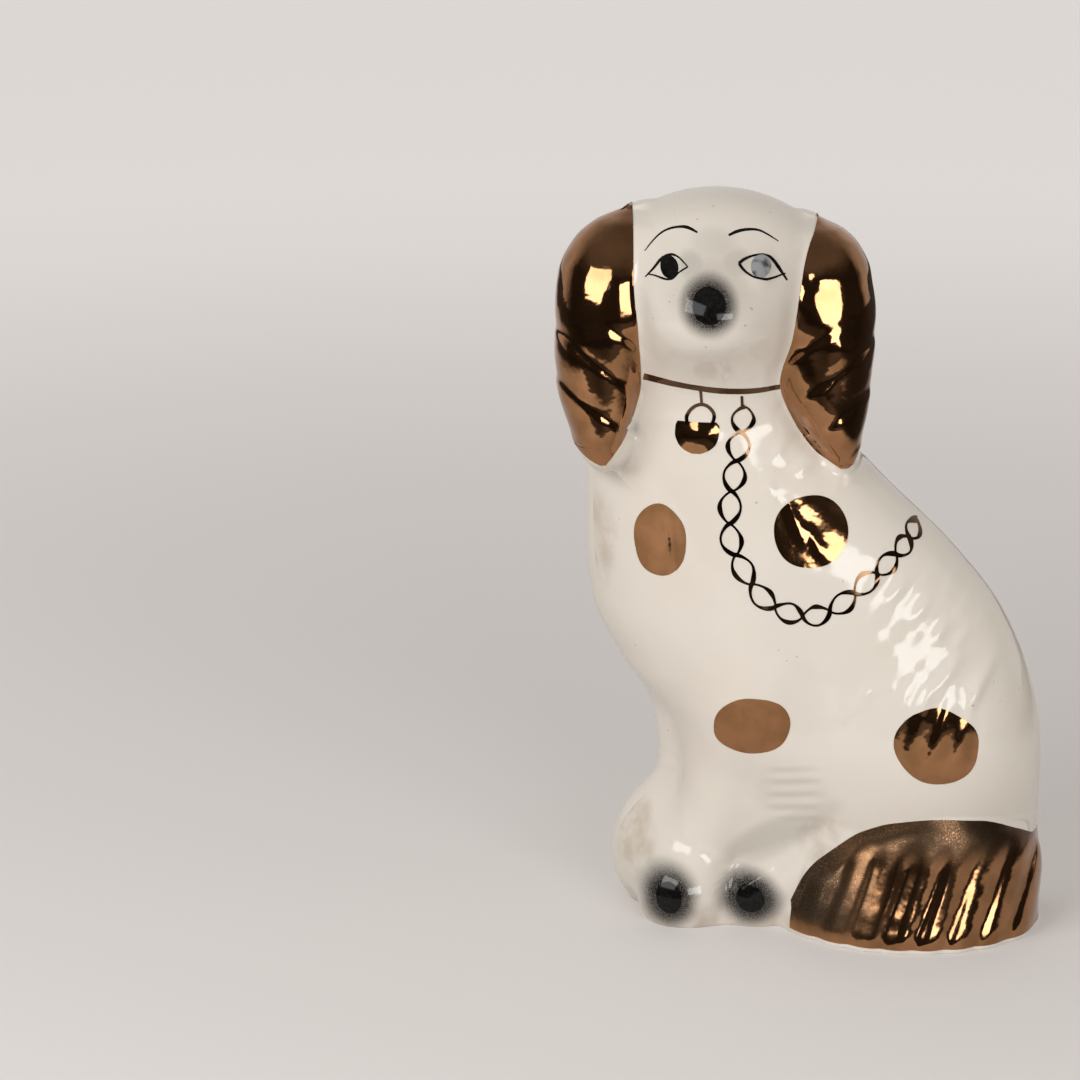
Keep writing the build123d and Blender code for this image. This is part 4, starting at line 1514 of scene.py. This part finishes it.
@dataclass(frozen=True)
class Studio:
    """Camera, lamps, table and room.

    Attributes:
        rise: Degrees of the camera above the horizon.
        distance: Millimetres from the camera to its aim.
        pixel: Millimetres at the aim for one pixel of the photograph.
        frame_pixels: Pixels along each side of the photograph.
        middle_pixel: Pixel of the front of the foot, below the figure's own axis.
        foot_drop: Millimetres from that axis forward to there.
        sensor: Width of the sensor in millimetres.
        sight: Greatest distance that the camera sees, in metres.
        table_reach: Half width of the table in metres.
        table_colour: Colour of the table.
        table_roughness: Roughness of the table.
        near_glow: Glow of the table at the figure.
        far_glow: Glow of the table far off.
        glow_span: Metres from the figure over which one becomes the other.
        left_share: Share of a distance to the left that counts, so that the lit middle goes further there.
        lit_span: Metres to the side over which the table goes dim in mirrors.
        front_span: Metres towards the camera over which it goes dim in them.
        backdrop: Colour of the room for the camera, and for mirrors low behind the figure.
        backdrop_span: Shares of a direction towards the back over which mirrors come to see it.
        backdrop_top: Shares of a direction upwards over which they lose it.
        dim: Colour of the rest for mirrors.
        ceiling: Colour overhead for mirrors.
        ceiling_span: Shares of a direction upwards over which that comes in.
        fill: Light of the room on matt surfaces.
        lamps: Soft boxes.
    """

    rise: float = 15.0
    distance: float = 1300.0
    pixel: float = 0.347
    frame_pixels: int = 1080
    middle_pixel: Place = (801.0, 945.0)
    foot_drop: float = 45.0
    sensor: float = 36.0
    sight: float = 20.0
    table_reach: float = 6.0
    table_colour: Colour = (0.66, 0.635, 0.615, 1)
    table_roughness: float = 0.7
    near_glow: Colour = (0.14, 0.13, 0.125, 1)
    far_glow: Colour = (0.42, 0.405, 0.39, 1)
    glow_span: Place = (0.1, 1.6)
    left_share: float = 0.45
    lit_span: Place = (0.25, 0.5)
    front_span: Place = (0.42, 0.46)
    backdrop: Colour = (0.70, 0.67, 0.65, 1)
    backdrop_span: Place = (0.1, 0.5)
    backdrop_top: Place = (0.35, 0.95)
    dim: Colour = (0.035, 0.032, 0.030, 1)
    ceiling: Colour = (0.21, 0.20, 0.195, 1)
    ceiling_span: Place = (0.42, 0.80)
    fill: Colour = (0.35, 0.337, 0.323, 1)
    lamps: Tuple[Lamp, ...] = (
        Lamp("right_box", 22, 14, (0.70, 0.35), 4.8),
        Lamp("left_box", -46, 29, (0.80, 0.54), 6.8),
    )

    def camera(self, stand: Array) -> None:
        """Camera at the photograph's height and distance, with the figure right of the middle."""
        tilt = np.radians(self.rise)
        half = self.frame_pixels / 2
        aim_up = (self.middle_pixel[1] - half) * self.pixel - self.foot_drop * np.sin(tilt)
        aim = np.array(((half - self.middle_pixel[0]) * self.pixel, 0, aim_up / np.cos(tilt)))
        place = aim + self.distance * np.array((0, -np.cos(tilt), np.sin(tilt)))
        data = bpy.data.cameras.new("camera")
        data.sensor_width = self.sensor
        data.lens = self.sensor * self.distance / (self.frame_pixels * self.pixel)
        data.clip_end = self.sight
        camera = linked("camera", data)
        camera.location = (place + stand) * METRES
        camera.rotation_euler = (np.radians(90) - tilt, 0, 0)
        bpy.context.scene.camera = camera

    def table(self) -> None:
        """Pale table that keeps the shadow; the camera sees it glow a little, and the gold its middle."""
        far = self.table_reach
        mesh = bpy.data.meshes.new("table")
        corners = [(-far, -far, 0), (far, -far, 0), (far, far, 0), (-far, far, 0)]
        mesh.from_pydata(corners, [], [(0, 1, 2, 3)])
        shader = Shader(bpy.data.materials.new("table"))
        across, depth = (shader.part(shader.places(), axis) for axis in "XY")
        camera, mirrored = shader.ray("Camera"), shader.ray("Glossy")
        aside = across.at_least(across * -self.left_share).between(*self.lit_span)
        outside = aside.at_least((depth * -1.0).between(*self.front_span))
        away = (across * across + depth * depth).power(0.5)
        glow = shader.mix(away.between(*self.glow_span), self.near_glow, self.far_glow)
        glow = shader.mix(camera.at_least(mirrored * (1.0 - outside)), (0, 0, 0, 1), glow)
        colour = shader.mix(mirrored * outside, self.table_colour, self.dim)
        material = shader.surface(
            {
                "Base Color": colour,
                "Roughness": self.table_roughness,
                "Emission Color": glow,
                "Emission Strength": 1.0,
            }
        )
        mesh.materials.append(material)
        table = linked("table", mesh)

    def room(self) -> None:
        """Room with a soft fill; mirrors see it pale low behind the figure, dim elsewhere, less so above."""
        world = bpy.data.worlds.new("room")
        bpy.context.scene.world = world
        shader = Shader(world)
        way = shader.node("ShaderNodeTexCoord", {}, {}, "Generated")
        behind, above = (shader.part(way, axis) for axis in "YZ")
        pale = behind.between(*self.backdrop_span) * (1.0 - above.between(*self.backdrop_top))
        camera, mirrored = shader.ray("Camera"), shader.ray("Glossy")
        mirrored_room = shader.mix(above.between(*self.ceiling_span), self.dim, self.ceiling)
        unlit = shader.mix(mirrored, self.fill, mirrored_room)
        colour = shader.mix(pale.at_least(camera), unlit, self.backdrop)
        light = shader.node("ShaderNodeBackground", {}, {"Color": colour, "Strength": 1.0})
        shader.node("ShaderNodeOutputWorld", {}, {"Surface": light})

    def build(self, stand: Array) -> None:
        """Set everything up."""
        self.camera(stand)
        self.table()
        self.room()
        for lamp in self.lamps:
            lamp.build()
        bpy.context.scene.view_settings.view_transform = "Standard"


def standing_place(form: Form) -> Array:
    """Where the figure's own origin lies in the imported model, from the seam and the ears."""
    left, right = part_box("ear_gilding_left")[0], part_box("ear_gilding_right")[1]
    head = form.masses[0].centre
    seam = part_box("front_half")[1][1] / METRES
    return np.array(((left[0] + right[0]) / 2 / METRES - head[0], seam - form.seam, 0.0))


def main() -> None:
    """Build the figure and its studio."""
    logging.basicConfig(level=logging.INFO)
    form = Form()
    stand = standing_place(form)
    log.info("stand %s", np.round(stand, 2))
    shop = Workshop(stand)
    glaze, clay = CreamGlaze().make(), BareClay().make()
    lustre, enamel = GoldLustre().make(), BlackEnamel().make()
    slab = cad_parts["base_slab"].data
    slab.materials.clear()
    slab.materials.append(clay)
    Casting(form, shop, glaze).build()
    painter = Painter(form, shop)
    Ears(Painter(form, shop, lift=EAR_LIFT), lustre).build()
    Tail(painter, lustre).build()
    Spots(painter, lustre).build()
    Lead(painter, lustre, SHADED_LINE_GOLD.make()).build()
    FacePaint(painter, enamel).build()
    Studio().build(stand)


if __name__ == "__main__":
    main()
